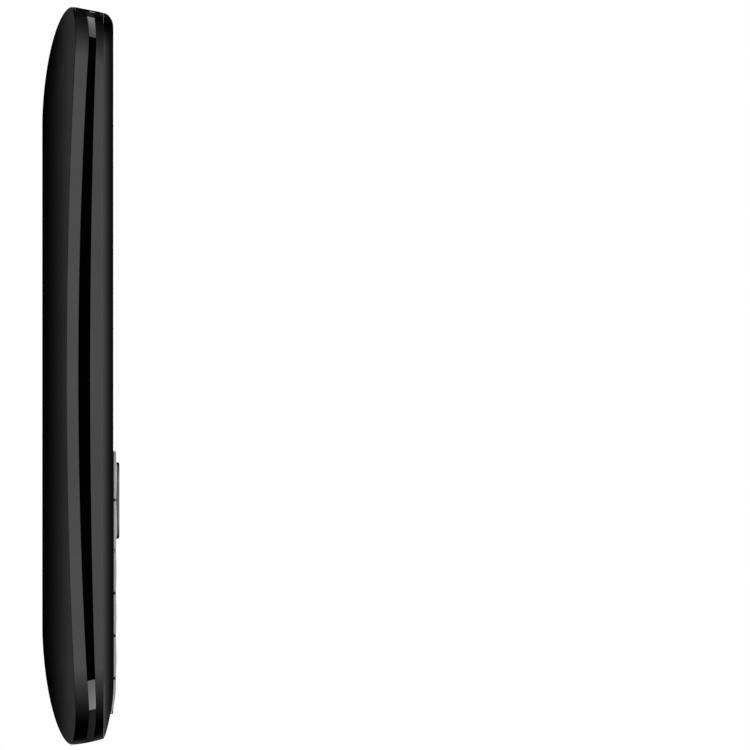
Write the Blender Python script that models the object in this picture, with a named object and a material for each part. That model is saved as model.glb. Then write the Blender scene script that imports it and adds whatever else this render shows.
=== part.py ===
"""A bar phone with a keypad, lying on its back: +Z out of the screen, +Y towards the earpiece end."""

import math

import bmesh
import bpy
from mathutils import Matrix, Vector

MM = 0.001

# Gaps: seams between shells, pieces that are stacked or seated, and pieces that move.
seam_gap = 0.15 * MM
seat_gap = 0.12 * MM
running_gap = 0.3 * MM
overrun = 1.0 * MM

# Plan of the body.
phone_length = 121.3 * MM
phone_width = 50.0 * MM
back_dome_width = 9.0 * MM
back_dome_length = 19.5 * MM
band_lean_width = 1.38 * MM
band_lean_length = 1.0 * MM
bezel_round_width = 2.7 * MM
bezel_round_length = 2.3 * MM
chin_round_length = 0.9 * MM
top_end_round = 9.0 * MM
bottom_end_round = 11.0 * MM
chin_length = 11.2 * MM
chin_drop = 1.5 * MM
cover_wall = 1.0 * MM
band_wall = 1.6 * MM

# The stack of pieces, from the back face to the screen.
battery_thickness = 4.0 * MM
floor_thickness = 0.6 * MM
shield_height = 0.6 * MM
board_thickness = 0.8 * MM
display_thickness = 1.7 * MM
gasket_thickness = 0.3 * MM
lens_ledge = 0.45 * MM
lens_thickness = 0.8 * MM

battery_back = cover_wall + running_gap
battery_front = battery_back + battery_thickness
floor_back = battery_front + running_gap
floor_front = floor_back + floor_thickness
shield_back = floor_front + seat_gap
board_back = shield_back + shield_height + seat_gap
board_front = board_back + board_thickness
display_back = board_front + seat_gap
gasket_back = display_back + display_thickness + seat_gap
housing_inside = gasket_back + gasket_thickness + seat_gap
lens_back = housing_inside + lens_ledge + seat_gap
front_face = lens_back + lens_thickness + seat_gap

# Heights of the lines round the body at mid-length, near the corners and at the ends, as shares of the
# thickness.
CREASE_SHARES = (0.342, 0.470, 0.420)
INLAY_BACK_SHARES = (0.507, 0.655, 0.575)
INLAY_FRONT_SHARES = (0.674, 0.758, 0.715)
BEZEL_LINE_SHARE = 0.862
BAND_BASE_SHARE = 0.385
BAND_LEAN_POWER = 1.7
CORNER_PEAK_SHARE = 0.905
END_FLATNESS = 2.8
CHIN_POWER = 2.5

# Points of the half outline: angles round each end, and places along the side between them.
END_ANGLES = (4, 13, 24, 36, 49, 61, 72, 81)
SIDE_SHARES = (0.9, 0.75, 0.6, 0.45, 0.3, 0.15, 0.0, -0.15, -0.3, -0.45, -0.6, -0.75, -0.9)

half_length = phone_length / 2
half_width = phone_width / 2


def half_outline(width, top, bottom, top_round, bottom_round):
    """Points down the right side, from near the top end's middle to near the bottom end's middle."""
    def end(reach, rounding, way):
        power = 2 / END_FLATNESS
        for angle in END_ANGLES:
            turn = math.radians(angle)
            y = reach - rounding + rounding * math.cos(turn) ** power
            yield width * math.sin(turn) ** power, way * y
    points = list(end(top, top_round, 1))
    high, low = top - top_round, bottom_round - bottom
    middle, reach = (high + low) / 2, (high - low) / 2
    points += [(width, middle + reach * share) for share in SIDE_SHARES]
    return points + list(end(bottom, bottom_round, -1))[::-1]


def plan(side_inset=0.0, top_inset=0.0, bottom_inset=None, rounding=0.0):
    """Half outline of the body, drawn in by the insets, with its ends rounded over a longer stretch."""
    bottom_inset = top_inset if bottom_inset is None else bottom_inset
    return half_outline(half_width - side_inset, half_length - top_inset, half_length - bottom_inset,
                        top_end_round + rounding, bottom_end_round + rounding)


OUTER = plan()
bezel_line = BEZEL_LINE_SHARE * front_face


def line_height(shares, y):
    """Height of a line round the body: bowed along the sides, highest near the corners, lower at the ends."""
    low, peak, tip = (share * front_face for share in shares)
    along = abs(y) / half_length
    if along < CORNER_PEAK_SHARE:
        return low + (peak - low) * (along / CORNER_PEAK_SHARE) ** 2
    rest = (1 - along) / (1 - CORNER_PEAK_SHARE)
    return peak - (peak - tip) * max(0.0, 1 - rest) ** 3


def lean(z):
    """How far the side band has leant in at a height, as a share of its whole lean."""
    base = BAND_BASE_SHARE * front_face
    return (max(0.0, z - base) / (bezel_line - base)) ** BAND_LEAN_POWER


def face_height(y):
    """Height of the front face, which falls away in a curve at the chin."""
    past = -half_length + band_lean_length + chin_length - y
    return front_face - chin_drop * (max(0.0, past) / chin_length) ** CHIN_POWER


def band_ring(height_at, depth=0.0):
    """Half ring on the side band, at a line's height, drawn in by the lean there and by a depth."""
    ring = []
    for index, (_, y) in enumerate(OUTER):
        z = height_at(y)
        tilt = lean(z)
        x, y_in = plan(band_lean_width * tilt + depth, band_lean_length * tilt + depth)[index]
        ring.append((x, y_in, z))
    return ring


def flat_ring(side_inset, end_inset, height_at):
    """Half ring drawn in by fixed insets, each point at the height of a line round the body."""
    return [(x, y_in, height_at(y)) for (x, y_in), (_, y) in zip(plan(side_inset, end_inset), OUTER)]


def clear_scene():
    for thing in list(bpy.data.objects):
        bpy.data.objects.remove(thing, do_unlink=True)


def finish(name, colour, roughness, metallic=0.0):
    """A Principled material."""
    material = bpy.data.materials.new(name)
    material.use_nodes = True
    shader = material.node_tree.nodes["Principled BSDF"]
    shader.inputs["Base Color"].default_value = (*colour, 1.0)
    shader.inputs["Roughness"].default_value = roughness
    shader.inputs["Metallic"].default_value = metallic
    material.diffuse_color = (*colour, 1.0)
    return material


clear_scene()
GLOSS_BLACK = finish("gloss_black_plastic", (0.006, 0.006, 0.007), 0.12)
INLAY_BLACK = finish("black_inlay", (0.002, 0.002, 0.002), 0.08)
SILVER = finish("silver_accent", (0.32, 0.32, 0.33), 0.25, 0.9)
KEY_GREY = finish("key_plastic", (0.30, 0.30, 0.31), 0.3)
CHROME = finish("nav_chrome", (0.16, 0.16, 0.17), 0.12, 1.0)
LENS = finish("lens_clear", (0.02, 0.02, 0.025), 0.03)
SCREEN = finish("display_stack", (0.03, 0.035, 0.04), 0.2)
INNER_BLACK = finish("inner_black_plastic", (0.015, 0.015, 0.016), 0.5)
RUBBER = finish("black_rubber", (0.02, 0.02, 0.02), 0.8)
BOARD_GREEN = finish("board_green", (0.01, 0.10, 0.04), 0.4)
STEEL = finish("steel", (0.55, 0.55, 0.56), 0.3, 1.0)
BATTERY_SLEEVE = finish("battery_sleeve", (0.12, 0.12, 0.13), 0.45)


def new_object(name, bm, material):
    bmesh.ops.recalc_face_normals(bm, faces=bm.faces)
    mesh = bpy.data.meshes.new(name)
    bm.to_mesh(mesh)
    bm.free()
    mesh.materials.append(material)
    thing = bpy.data.objects.new(name, mesh)
    bpy.context.scene.collection.objects.link(thing)
    return thing


def whole_ring(half):
    """The half ring of the right side, and its mirror image back up the left."""
    return [Vector(point) for point in half] + [Vector((-x, y, z)) for x, y, z in reversed(half)]


def loft(name, halves, material):
    """A closed body through half rings, with a ladder of cross strips closing its first and last ring."""
    bm = bmesh.new()
    rings = [[bm.verts.new(point) for point in whole_ring(half)] for half in halves]
    count = len(rings[0])
    for near, far in zip(rings, rings[1:]):
        for i in range(count):
            j = (i + 1) % count
            bm.faces.new((near[i], near[j], far[j], far[i]))
    for ring in (rings[0], rings[-1]):
        for i in range(count // 2 - 1):
            bm.faces.new((ring[i], ring[i + 1], ring[count - 2 - i], ring[count - 1 - i]))
    return new_object(name, bm, material)


def cut(target, cutter, operation="DIFFERENCE"):
    """Cuts a body away from the target, or joins it on, and drops it."""
    modifier = target.modifiers.new(operation.lower(), "BOOLEAN")
    modifier.operation = operation
    modifier.object = cutter
    graph = bpy.context.evaluated_depsgraph_get()
    mesh = bpy.data.meshes.new_from_object(target.evaluated_get(graph), depsgraph=graph)
    target.modifiers.clear()
    old = target.data
    target.data = mesh
    bpy.data.meshes.remove(old)
    bpy.data.objects.remove(cutter, do_unlink=True)


def join(target, extra):
    cut(target, extra, "UNION")


def corners(width, length, radii, steps=4):
    """Outline of a rectangle whose corners, from the right top one anticlockwise, have their own radii."""
    points = []
    for quarter, ((sx, sy), radius) in enumerate(zip(((1, 1), (-1, 1), (-1, -1), (1, -1)), radii)):
        radius = min(radius, width / 2, length)
        for step in range(steps + 1):
            turn = math.radians(90 * (quarter + step / steps))
            points.append((sx * (width / 2 - radius) + radius * math.cos(turn),
                           sy * (length / 2 - radius) + radius * math.sin(turn)))
    return points


# A full round stops just short, so that no two corner points fall together.
FULL_ROUND_SHARE = 0.999


def rounded(width, length, radius, steps=4):
    """Outline of a rectangle with four like corners."""
    radius = FULL_ROUND_SHARE * min(radius, width / 2, length / 2)
    return corners(width, length, [radius] * 4, steps)


EDGE_SHOULDER_SHARE = 0.3


def slab(name, outline, low, high, centre=(0.0, 0.0), material=INNER_BLACK, top=None, edge=0.0):
    """A flat piece: an outline drawn up from one height to another, its top following a height rule if given.
    An edge size rounds the top rim with two chamfer rings."""
    cx, cy = centre
    span = max(abs(x) for x, _ in outline)
    reach = max(abs(y) for _, y in outline)
    bm = bmesh.new()
    def ring(inset, drop):
        made = []
        for x, y in outline:
            x, y = cx + x * (1 - inset / span), cy + y * (1 - inset / reach)
            made.append(bm.verts.new((x, y, (top(y) if top else high) - drop)))
        return made
    rings = [[bm.verts.new((cx + x, cy + y, low)) for x, y in outline]]
    if edge:
        rings += [ring(0.0, edge), ring(edge * EDGE_SHOULDER_SHARE, edge * EDGE_SHOULDER_SHARE)]
    rings.append(ring(edge, 0.0))
    for near, far in zip(rings, rings[1:]):
        for i in range(len(outline)):
            j = (i + 1) % len(outline)
            bm.faces.new((near[i], near[j], far[j], far[i]))
    bm.faces.new(rings[0][::-1])
    if top:
        crown = bm.verts.new((cx, cy, top(cy)))
        for i, corner in enumerate(rings[-1]):
            bm.faces.new((corner, rings[-1][(i + 1) % len(outline)], crown))
    else:
        bm.faces.new(rings[-1])
    return new_object(name, bm, material)


BOX_CORNER_SHARE = 0.1


def box(name, size, centre, low, material=INNER_BLACK, corner=None):
    """A block with rounded corners, standing on a height."""
    width, length, height = size
    corner = BOX_CORNER_SHARE * min(width, length) if corner is None else corner
    return slab(name, rounded(width, length, corner, 2), low, low + height, centre, material)


def disc(name, radius, low, high, centre, material=INNER_BLACK, sides=24):
    turns = [math.tau * i / sides for i in range(sides)]
    outline = [(radius * math.cos(turn), radius * math.sin(turn)) for turn in turns]
    return slab(name, outline, low, high, centre, material)


def rod(name, radius, start, length, direction, material=INNER_BLACK, sides=20):
    """A round bar along X or Y, from its start point."""
    turn = Matrix.Rotation(math.pi / 2, 4, "Y") if direction == "X" else Matrix.Rotation(-math.pi / 2, 4, "X")
    thing = disc(name, radius, 0.0, length, (0.0, 0.0), material, sides)
    thing.data.transform(Matrix.Translation(start) @ turn)
    return thing


def crease(y):
    return line_height(CREASE_SHARES, y)


# Rear cover: a domed shell whose rim meets the housing at the crease, the widest line round the body.
cover_rim = 1.3 * MM
back_corner_growth = 5.0 * MM
SIDE_DOME_POWER = 3.0
END_DOME_POWER = 1.8
COVER_OUTSIDE_SHARES = (0.0, 0.03, 0.1, 0.22, 0.4, 0.6, 0.8, 1.0)
COVER_INSIDE_SHARES = (1.0, 0.7, 0.45, 0.22, 0.08, 0.0)


def dome_ring(share, rim=0.0, wall=0.0):
    """Half ring of the dome at a share of the height from the flat back to the crease."""
    side = 1 - share ** (1 / SIDE_DOME_POWER)
    end = 1 - (1 - (1 - share) ** END_DOME_POWER) ** (1 / END_DOME_POWER)
    outline = plan(rim + (back_dome_width - rim) * side, rim + (back_dome_length - rim) * end,
                   rounding=back_corner_growth * end)
    return [(x, y, wall * (1 - share) + share * (crease(y_out) - seam_gap / 2))
            for (x, y), (_, y_out) in zip(outline, OUTER)]


rear_cover = loft("rear_cover", [dome_ring(share) for share in COVER_OUTSIDE_SHARES]
                  + [dome_ring(share, cover_rim, cover_wall) for share in COVER_INSIDE_SHARES], GLOSS_BLACK)

# Rear housing: the leaning side band with a groove for the inlay, and a floor between battery and board.
groove_depth = 0.8 * MM
inner_side = band_lean_width + band_wall
inner_end = band_lean_length + band_wall


def inlay_back(y):
    return line_height(INLAY_BACK_SHARES, y)


def inlay_front(y):
    return line_height(INLAY_FRONT_SHARES, y)


rear_housing = loft("rear_housing", [
    flat_ring(band_wall, band_wall, lambda y: floor_back),
    flat_ring(band_wall, band_wall, lambda y: crease(y) + seam_gap / 2),
    band_ring(lambda y: crease(y) + seam_gap / 2),
    band_ring(inlay_back),
    band_ring(inlay_back, groove_depth),
    band_ring(inlay_front, groove_depth),
    band_ring(inlay_front),
    band_ring(lambda y: bezel_line - seam_gap / 2),
    flat_ring(inner_side, inner_end, lambda y: bezel_line - seam_gap / 2),
    flat_ring(inner_side, inner_end, lambda y: floor_front),
], GLOSS_BLACK)

# Front housing: the bezel, rounded from the bezel line to the face, which falls away at the chin.
BEZEL_ROUND_POWER = 1.8
BEZEL_SHARES = (1.0, 0.93, 0.78, 0.55, 0.3, 0.0)


def bezel_ring(share):
    """Half ring of the bezel at a share of the height from the bezel line to the face."""
    turn = 1 - (1 - share ** BEZEL_ROUND_POWER) ** (1 / BEZEL_ROUND_POWER)
    outline = plan(band_lean_width + bezel_round_width * turn, band_lean_length + bezel_round_length * turn,
                   band_lean_length + chin_round_length * turn)
    low = bezel_line + seam_gap / 2
    return [(x, y, low + share * (face_height(y) - low)) for x, y in outline]


front_housing = loft("front_housing", [bezel_ring(share) for share in BEZEL_SHARES] + [
    flat_ring(inner_side, inner_end, lambda y: bezel_line + seam_gap / 2),
    flat_ring(inner_side, inner_end, lambda y: housing_inside),
], GLOSS_BLACK)


def along_ring(rings, place):
    """Points of whole rings at a place between two of their corners, counted round from the top's right."""
    first = math.floor(place)
    rest = place - first
    count = len(rings[0])
    return [ring[first % count].lerp(ring[(first + 1) % count], rest) for ring in rings]


def place_at(y):
    """Place on the right side of a whole ring where it reaches a distance along the phone."""
    for i, (high, low) in enumerate(zip(OUTER, OUTER[1:])):
        if high[1] >= y >= low[1]:
            return i + (high[1] - y) / (high[1] - low[1])
    return 0.0 if y > OUTER[0][1] else float(len(OUTER) - 1)


def strip_piece(name, start, end, low_line, high_line, depth, material, margin=0.0, proud=0.0):
    """A piece let into the side band between two places and two lines, with a margin to its groove."""
    rings = [whole_ring(band_ring(lambda y: low_line(y) + margin, -proud)),
             whole_ring(band_ring(lambda y: high_line(y) - margin, -proud)),
             whole_ring(band_ring(lambda y: high_line(y) - margin, depth - margin)),
             whole_ring(band_ring(lambda y: low_line(y) + margin, depth - margin))]
    places = [start] + list(range(math.floor(start) + 1, math.ceil(end))) + [end]
    bm = bmesh.new()
    stations = [[bm.verts.new(point) for point in along_ring(rings, place)] for place in places]
    for near, far in zip(stations, stations[1:]):
        for i in range(4):
            bm.faces.new((near[i], near[(i + 1) % 4], far[(i + 1) % 4], far[i]))
    bm.faces.new(stations[0])
    bm.faces.new(stations[-1])
    return new_object(name, bm, material)


# Inlay strip and silver accents, pressed into the groove. The top end has a port panel in its place.
top_accent_start = 1.25 * MM
top_accent_end = 4.45 * MM
bottom_accent_start = 10.15 * MM
bottom_accent_end = 5.3 * MM
panel_height = 4.1 * MM
panel_depth = 0.9 * MM
PANEL_END_ANGLE_INDEX = 2

ring_count = 2 * len(OUTER)


def mirrored(place):
    return ring_count - 1 - place


def inlay(name, start_y, end_y, material):
    """One inlay piece on each side, between two distances along the phone."""
    start, end = place_at(start_y), place_at(end_y)
    for side, span in (("right", (start, end)), ("left", (mirrored(end), mirrored(start)))):
        strip_piece(f"{name}_{side}", *span, inlay_back, inlay_front, groove_depth, material, seat_gap)


inlay("accent_top", half_length - top_accent_start, half_length - top_accent_end, SILVER)
inlay("side_inlay", half_length - top_accent_end - seat_gap, bottom_accent_start - half_length + seat_gap,
      INLAY_BLACK)
inlay("accent_bottom", bottom_accent_start - half_length, bottom_accent_end - half_length, SILVER)
bottom_start = place_at(bottom_accent_end - half_length - seat_gap)
strip_piece("end_inlay_bottom", bottom_start, mirrored(bottom_start), inlay_back, inlay_front, groove_depth,
            INLAY_BLACK, seat_gap)

panel_middle = (inlay_back(half_length) + inlay_front(half_length)) / 2
panel_place = float(PANEL_END_ANGLE_INDEX)
gap_place = seat_gap / math.dist(OUTER[PANEL_END_ANGLE_INDEX], OUTER[PANEL_END_ANGLE_INDEX + 1])


def panel_low(y):
    return panel_middle - panel_height / 2


def panel_high(y):
    return panel_middle + panel_height / 2


top_inlay_start = panel_place + gap_place * 2
top_inlay_end = place_at(half_length - top_accent_start + seat_gap)
for side, span in (("right", (top_inlay_start, top_inlay_end)),
                   ("left", (mirrored(top_inlay_end), mirrored(top_inlay_start)))):
    strip_piece(f"end_inlay_top_{side}", *span, inlay_back, inlay_front, groove_depth, INLAY_BLACK, seat_gap)
panel_span = (mirrored(panel_place), ring_count + panel_place)
strip_piece("port_panel", *panel_span, panel_low, panel_high, panel_depth, INNER_BLACK, seat_gap)
cut(rear_housing, strip_piece("panel_recess", panel_span[0] - gap_place, panel_span[1] + gap_place, panel_low,
                              panel_high, panel_depth, INNER_BLACK, proud=overrun))

# Ports in the top end: USB in the middle, audio jack on the right, torch on the left.
usb_size = (7.5 * MM, 5.6 * MM, 2.6 * MM)
usb_mouth = (6.9 * MM, 1.8 * MM)
usb_x = -1.0 * MM
jack_size = (5.6 * MM, 11.5 * MM, 4.4 * MM)
jack_hole = 1.75 * MM
jack_x = 8.8 * MM
torch_radius = 1.4 * MM
torch_length = 1.6 * MM
torch_led_size = (2.6 * MM, 3.0 * MM, 2.2 * MM)
torch_x = -9.0 * MM
port_sink = 0.5 * MM
port_depth = 4.5 * MM
USB_CORNER_SHARE = 1 / 3
PORT_CORNER_SHARE = 0.2
wall_inside = half_length - inner_end
port_z = panel_middle
usb_corner = USB_CORNER_SHARE * usb_size[2]


def inside_reach(x):
    """How far along the phone the inner end wall stands, at a distance from its middle."""
    outline = plan(inner_side, inner_end)
    for (x_near, y_near), (x_far, y_far) in zip(outline, outline[1:]):
        if x_near <= x <= x_far:
            return y_near + (y_far - y_near) * (x - x_near) / (x_far - x_near)
    return outline[0][1]


def port_opening(cutter_of, names=("rear_housing", "port_panel")):
    """Cuts one opening through the end wall and the panel in front of it."""
    for name in names:
        cut(bpy.data.objects[name], cutter_of())


def end_block(width, height, x, back, front, corner, name="opening", material=INNER_BLACK):
    """A block across the end wall, with rounded corners as seen from the end."""
    block = slab(name, rounded(width, height, corner), 0.0, front - back, (0.0, 0.0), material)
    block.data.transform(Matrix.Translation((x, front, port_z)) @ Matrix.Rotation(math.pi / 2, 4, "X"))
    return block


usb_front = half_length - port_sink - band_lean_length
port_opening(lambda: end_block(usb_size[0] + 2 * seat_gap, usb_size[2] + 2 * seat_gap, usb_x,
                               wall_inside - overrun, half_length + overrun, usb_corner))
usb = end_block(usb_size[0], usb_size[2], usb_x, usb_front - usb_size[1], usb_front, usb_corner, "usb_port",
                STEEL)
cut(usb, end_block(*usb_mouth, usb_x, usb_front - port_depth, usb_front + overrun,
                   USB_CORNER_SHARE * usb_mouth[1]))
port_opening(lambda: rod("opening", jack_hole, (jack_x, wall_inside - overrun, port_z),
                         inner_end + 2 * overrun, "Y"))
jack_front = inside_reach(jack_x + jack_size[0] / 2) - seat_gap
jack = end_block(jack_size[0], jack_size[2], jack_x, jack_front - jack_size[1], jack_front,
                 PORT_CORNER_SHARE * jack_size[2], "audio_jack")
cut(jack, rod("hole", jack_hole, (jack_x, jack_front - port_depth, port_z), port_depth + overrun, "Y"))
port_opening(lambda: rod("opening", torch_radius + seat_gap, (torch_x, wall_inside - overrun, port_z),
                         inner_end + 2 * overrun, "Y"))
torch_front = half_length - port_sink
rod("torch_lens", torch_radius, (torch_x, torch_front - torch_length, port_z), torch_length, "Y", LENS)
torch_led_front = min(inside_reach(torch_led_size[0] / 2 - torch_x), torch_front - torch_length) - seat_gap
end_block(torch_led_size[0], torch_led_size[2], torch_x, torch_led_front - torch_led_size[1], torch_led_front,
          PORT_CORNER_SHARE * torch_led_size[2], "torch_led", LENS)

PORTS = ((usb_x, usb_size[0], usb_front - usb_size[1]), (jack_x, jack_size[0], jack_front - jack_size[1]),
         (torch_x, torch_led_size[0], torch_led_front - torch_led_size[1]))


def port_pockets(target, low, high, past_wall=0.0):
    """Cuts room for the ports' bodies, from behind each to the inner end wall or past it."""
    for x, width, back in PORTS:
        back -= running_gap
        front = inside_reach(abs(x) + width / 2) + past_wall
        size = (width + 2 * running_gap, front - back, high - low)
        cut(target, box("pocket", size, (x, (front + back) / 2), low, corner=seat_gap))


port_pockets(rear_housing, floor_back - overrun, floor_front + overrun)

# Keypad layout: rows counted up from the phone's bottom end, three columns of number keys.
keypad_bottom_margin = 4.95 * MM
last_row_pitch = 6.0 * MM
number_row_pitch = 7.0 * MM
call_row_pitch = 8.3 * MM
soft_row_pitch = 8.15 * MM
keypad_from_side = 4.6 * MM
key_gap = 0.3 * MM
key_edge = 0.3 * MM
key_corner = 1.1 * MM
keypad_top_corner = 3.2 * MM
keypad_bottom_corner = 5.6 * MM
key_proud = 0.54 * MM
key_travel = 0.25 * MM
nav_width = 16.0 * MM
nav_length = 12.8 * MM
nav_corner = 3.6 * MM
nav_proud = 1.0 * MM
nav_edge = 0.6 * MM
nav_web = 1.0 * MM
ok_width = 7.0 * MM
ok_length = 6.0 * MM
ok_corner = 2.2 * MM
ok_proud = 0.75 * MM
dome_sheet_thickness = 0.2 * MM
mat_thickness = 0.5 * MM
plate_thickness = 0.5 * MM
plate_border = 1.4 * MM

dome_back = board_front + seat_gap
mat_back = dome_back + dome_sheet_thickness + key_travel
mat_front = mat_back + mat_thickness
key_back = mat_front + key_travel + seat_gap
plate_back = mat_front + running_gap
nav_back = plate_back + plate_thickness + seat_gap

NUMBER_NAMES = (("key_star", "key_0", "key_hash"), ("key_7", "key_8", "key_9"),
                ("key_4", "key_5", "key_6"), ("key_1", "key_2", "key_3"))
keypad_width = phone_width - 2 * keypad_from_side
keypad_bottom = keypad_bottom_margin - half_length
row_edges = [keypad_bottom, keypad_bottom + last_row_pitch]
row_edges += [row_edges[1] + number_row_pitch * row for row in (1, 2, 3)]
row_edges += [row_edges[4] + call_row_pitch, row_edges[4] + call_row_pitch + soft_row_pitch]
keypad_top = row_edges[6]
nav_middle = (row_edges[4] + keypad_top) / 2
column_width = keypad_width / len(NUMBER_NAMES[0])
side_key_inner = nav_width / 2 + key_gap + nav_web + key_gap
side_key_width = keypad_width / 2 - side_key_inner


def key_face(y):
    return face_height(y) + key_proud


def key(name, left, right, low, high, radii):
    """A key cap between cell edges, bonded to the mat below, its top following the face."""
    width, length = right - left - key_gap, high - low - key_gap
    outline = corners(width, length, radii)
    centre = ((left + right) / 2, (low + high) / 2)
    return slab(name, outline, key_back, 0.0, centre, KEY_GREY, key_face, key_edge)


def housing_opening(width, length, radii, centre):
    """Cuts an opening for keys through the front housing."""
    outline = corners(width + key_gap, length + key_gap, [radius + key_gap for radius in radii])
    cut(front_housing, slab("opening", outline, housing_inside - overrun, front_face + overrun, centre))


for row, names in enumerate(NUMBER_NAMES):
    for column, name in enumerate(names):
        left = column_width * column - keypad_width / 2
        radii = [key_corner] * 4
        if row == 0 and column != 1:
            radii[2 if column == 0 else 3] = keypad_bottom_corner
        key(name, left, left + column_width, row_edges[row], row_edges[row + 1], radii)
for side, way in (("left", -1), ("right", 1)):
    edges = sorted((way * side_key_inner, way * (side_key_inner + side_key_width)))
    key("call_key" if way < 0 else "end_key", *edges, row_edges[4], row_edges[5], [key_corner] * 4)
    radii = [key_corner] * 4
    radii[1 if way < 0 else 0] = keypad_top_corner
    key(f"soft_key_{side}", *edges, row_edges[5], keypad_top, radii)
    block_low = row_edges[4] - key_gap
    housing_opening(side_key_width, keypad_top - block_low, [radii[0], radii[1], 0.0, 0.0],
                    (sum(edges) / 2, (keypad_top + block_low) / 2))
housing_opening(keypad_width, row_edges[4] - keypad_bottom,
                [0.0, 0.0, keypad_bottom_corner, keypad_bottom_corner], (0.0, (row_edges[4] + keypad_bottom) / 2))

# Navigation pad: a ring that rocks on a plate, round the OK key.
nav_hole = corners(nav_width + key_gap, nav_length + key_gap, [nav_corner] * 4)
cut(front_housing, slab("opening", nav_hole, housing_inside - overrun, front_face + overrun,
                        (0.0, nav_middle)))
nav_ring = slab("nav_ring", corners(nav_width - key_gap, nav_length - key_gap, [nav_corner] * 4, 5), nav_back,
                front_face + nav_proud, (0.0, nav_middle), CHROME, edge=nav_edge)
ok_hole = corners(ok_width + 2 * running_gap, ok_length + 2 * running_gap, [ok_corner + running_gap] * 4, 5)
cut(nav_ring, slab("hole", ok_hole, nav_back - overrun, front_face + nav_proud + overrun, (0.0, nav_middle)))
slab("ok_key", corners(ok_width, ok_length, [ok_corner] * 4, 5), key_back, front_face + ok_proud,
     (0.0, nav_middle), CHROME, edge=key_edge)
plate_reach = 2 * (running_gap + plate_border)
nav_plate = slab("nav_plate", corners(ok_width + plate_reach, ok_length + plate_reach, [ok_corner] * 4),
                 plate_back, plate_back + plate_thickness, (0.0, nav_middle), STEEL)
cut(nav_plate, slab("hole", ok_hole, plate_back - overrun, nav_back, (0.0, nav_middle)))

# Keypad mat and dome sheet, on the board under the keys.
mat_length = keypad_top - keypad_bottom - key_gap
mat_outline = corners(keypad_width, mat_length,
                      [key_corner, key_corner, keypad_bottom_corner, keypad_bottom_corner])
for name, low, thickness, material in (("dome_sheet", dome_back, dome_sheet_thickness, STEEL),
                                       ("keypad_mat", mat_back, mat_thickness, RUBBER)):
    slab(name, mat_outline, low, low + thickness, (0.0, (keypad_top + keypad_bottom) / 2), material)

# Display: a lens let into the face, over a gasket and the display module, which lies on the board.
lens_from_side = 4.0 * MM
lens_corner = 2.5 * MM
lens_border = 1.6 * MM
lens_keypad_gap = 2.5 * MM
lens_port_gap = 0.3 * MM
display_border = 1.2 * MM
gasket_width = 1.2 * MM

lens_width = phone_width - 2 * lens_from_side
display_top = jack_front - jack_size[1] - running_gap - lens_port_gap
lens_length = display_top + display_border - keypad_top - lens_keypad_gap
lens_middle = keypad_top + lens_keypad_gap + lens_length / 2
display_width = lens_width - 2 * display_border
display_length = lens_length - 2 * display_border
window_width = lens_width - 2 * lens_border
window_length = lens_length - 2 * lens_border


def panel(name, width, length, radius, low, high, material=INNER_BLACK):
    return slab(name, rounded(width, length, radius), low, high, (0.0, lens_middle), material)


cut(front_housing, panel("recess", lens_width + 2 * seat_gap, lens_length + 2 * seat_gap,
                         lens_corner + seat_gap, housing_inside + lens_ledge, front_face + overrun))
cut(front_housing, panel("window", window_width, window_length, lens_corner, housing_inside - overrun,
                         front_face + overrun))
panel("display_lens", lens_width, lens_length, lens_corner, lens_back, lens_back + lens_thickness, LENS)
panel("display_module", display_width, display_length, lens_corner / 2, display_back,
      display_back + display_thickness, SCREEN)
gasket = panel("display_gasket", display_width, display_length, lens_corner / 2, gasket_back,
               gasket_back + gasket_thickness, RUBBER)
cut(gasket, panel("hole", display_width - 2 * gasket_width, display_length - 2 * gasket_width,
                  lens_corner / 2, gasket_back - overrun, housing_inside + overrun))

# Earpiece: a flat speaker behind a slot in the face, with a steel mesh set in the slot.
earpiece_width = 12.0 * MM
earpiece_length = 4.4 * MM
earpiece_height = 1.8 * MM
slot_width = 9.0 * MM
slot_length = 1.6 * MM
mesh_thickness = 0.5 * MM
earpiece_middle = usb_front - usb_size[1] - running_gap - earpiece_length / 2
slot = rounded(slot_width + 2 * seat_gap, slot_length + 2 * seat_gap, slot_length)
cut(front_housing, slab("slot", slot, housing_inside - overrun, front_face + overrun, (0.0, earpiece_middle)))
mesh_front = front_face - seat_gap
slab("earpiece_mesh", rounded(slot_width, slot_length, slot_length), mesh_front - mesh_thickness, mesh_front,
     (0.0, earpiece_middle), STEEL)
box("earpiece_speaker", (earpiece_width, earpiece_length, earpiece_height), (0.0, earpiece_middle),
    housing_inside - seat_gap - earpiece_height, STEEL)

# Microphone: a small can on the board behind a pinhole in the chin.
mic_size = (2.4 * MM, 1.4 * MM, 1.0 * MM)
mic_hole = 0.45 * MM
mic_middle = (keypad_bottom - half_length) / 2 + band_lean_length
box("microphone", mic_size, (0.0, mic_middle), board_front + seat_gap, STEEL)
cut(front_housing, disc("hole", mic_hole, housing_inside - overrun, front_face + overrun, (0.0, mic_middle),
                        sides=12))

# Battery in its bay: a wall below the housing floor, with the spring connector at the bay's top end.
battery_corner = 1.5 * MM
low_screw_from_side = 5.6 * MM
screw_radius = 0.7 * MM
screw_head_radius = 1.3 * MM
screw_head_height = 0.7 * MM
camera_size = 6.5 * MM
camera_from_top = 23.0 * MM
camera_holder_gap = 1.5 * MM
holder_length = 15.0 * MM
speaker_radius = 6.6 * MM
speaker_from_bottom = 10.1 * MM
bay_wall = 0.6 * MM
connector_size = (9.0 * MM, 1.5 * MM, 3.6 * MM)
low_screw_x = half_width - low_screw_from_side
bay_width = 2 * (low_screw_x - screw_head_radius - seat_gap - bay_wall)
battery_width = bay_width - 2 * running_gap
camera_middle = half_length - camera_from_top
holders_middle = camera_middle - camera_size / 2 - camera_holder_gap - holder_length / 2
speaker_middle = speaker_from_bottom + speaker_radius - half_length
bay_low = speaker_middle + speaker_radius + running_gap + bay_wall
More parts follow.
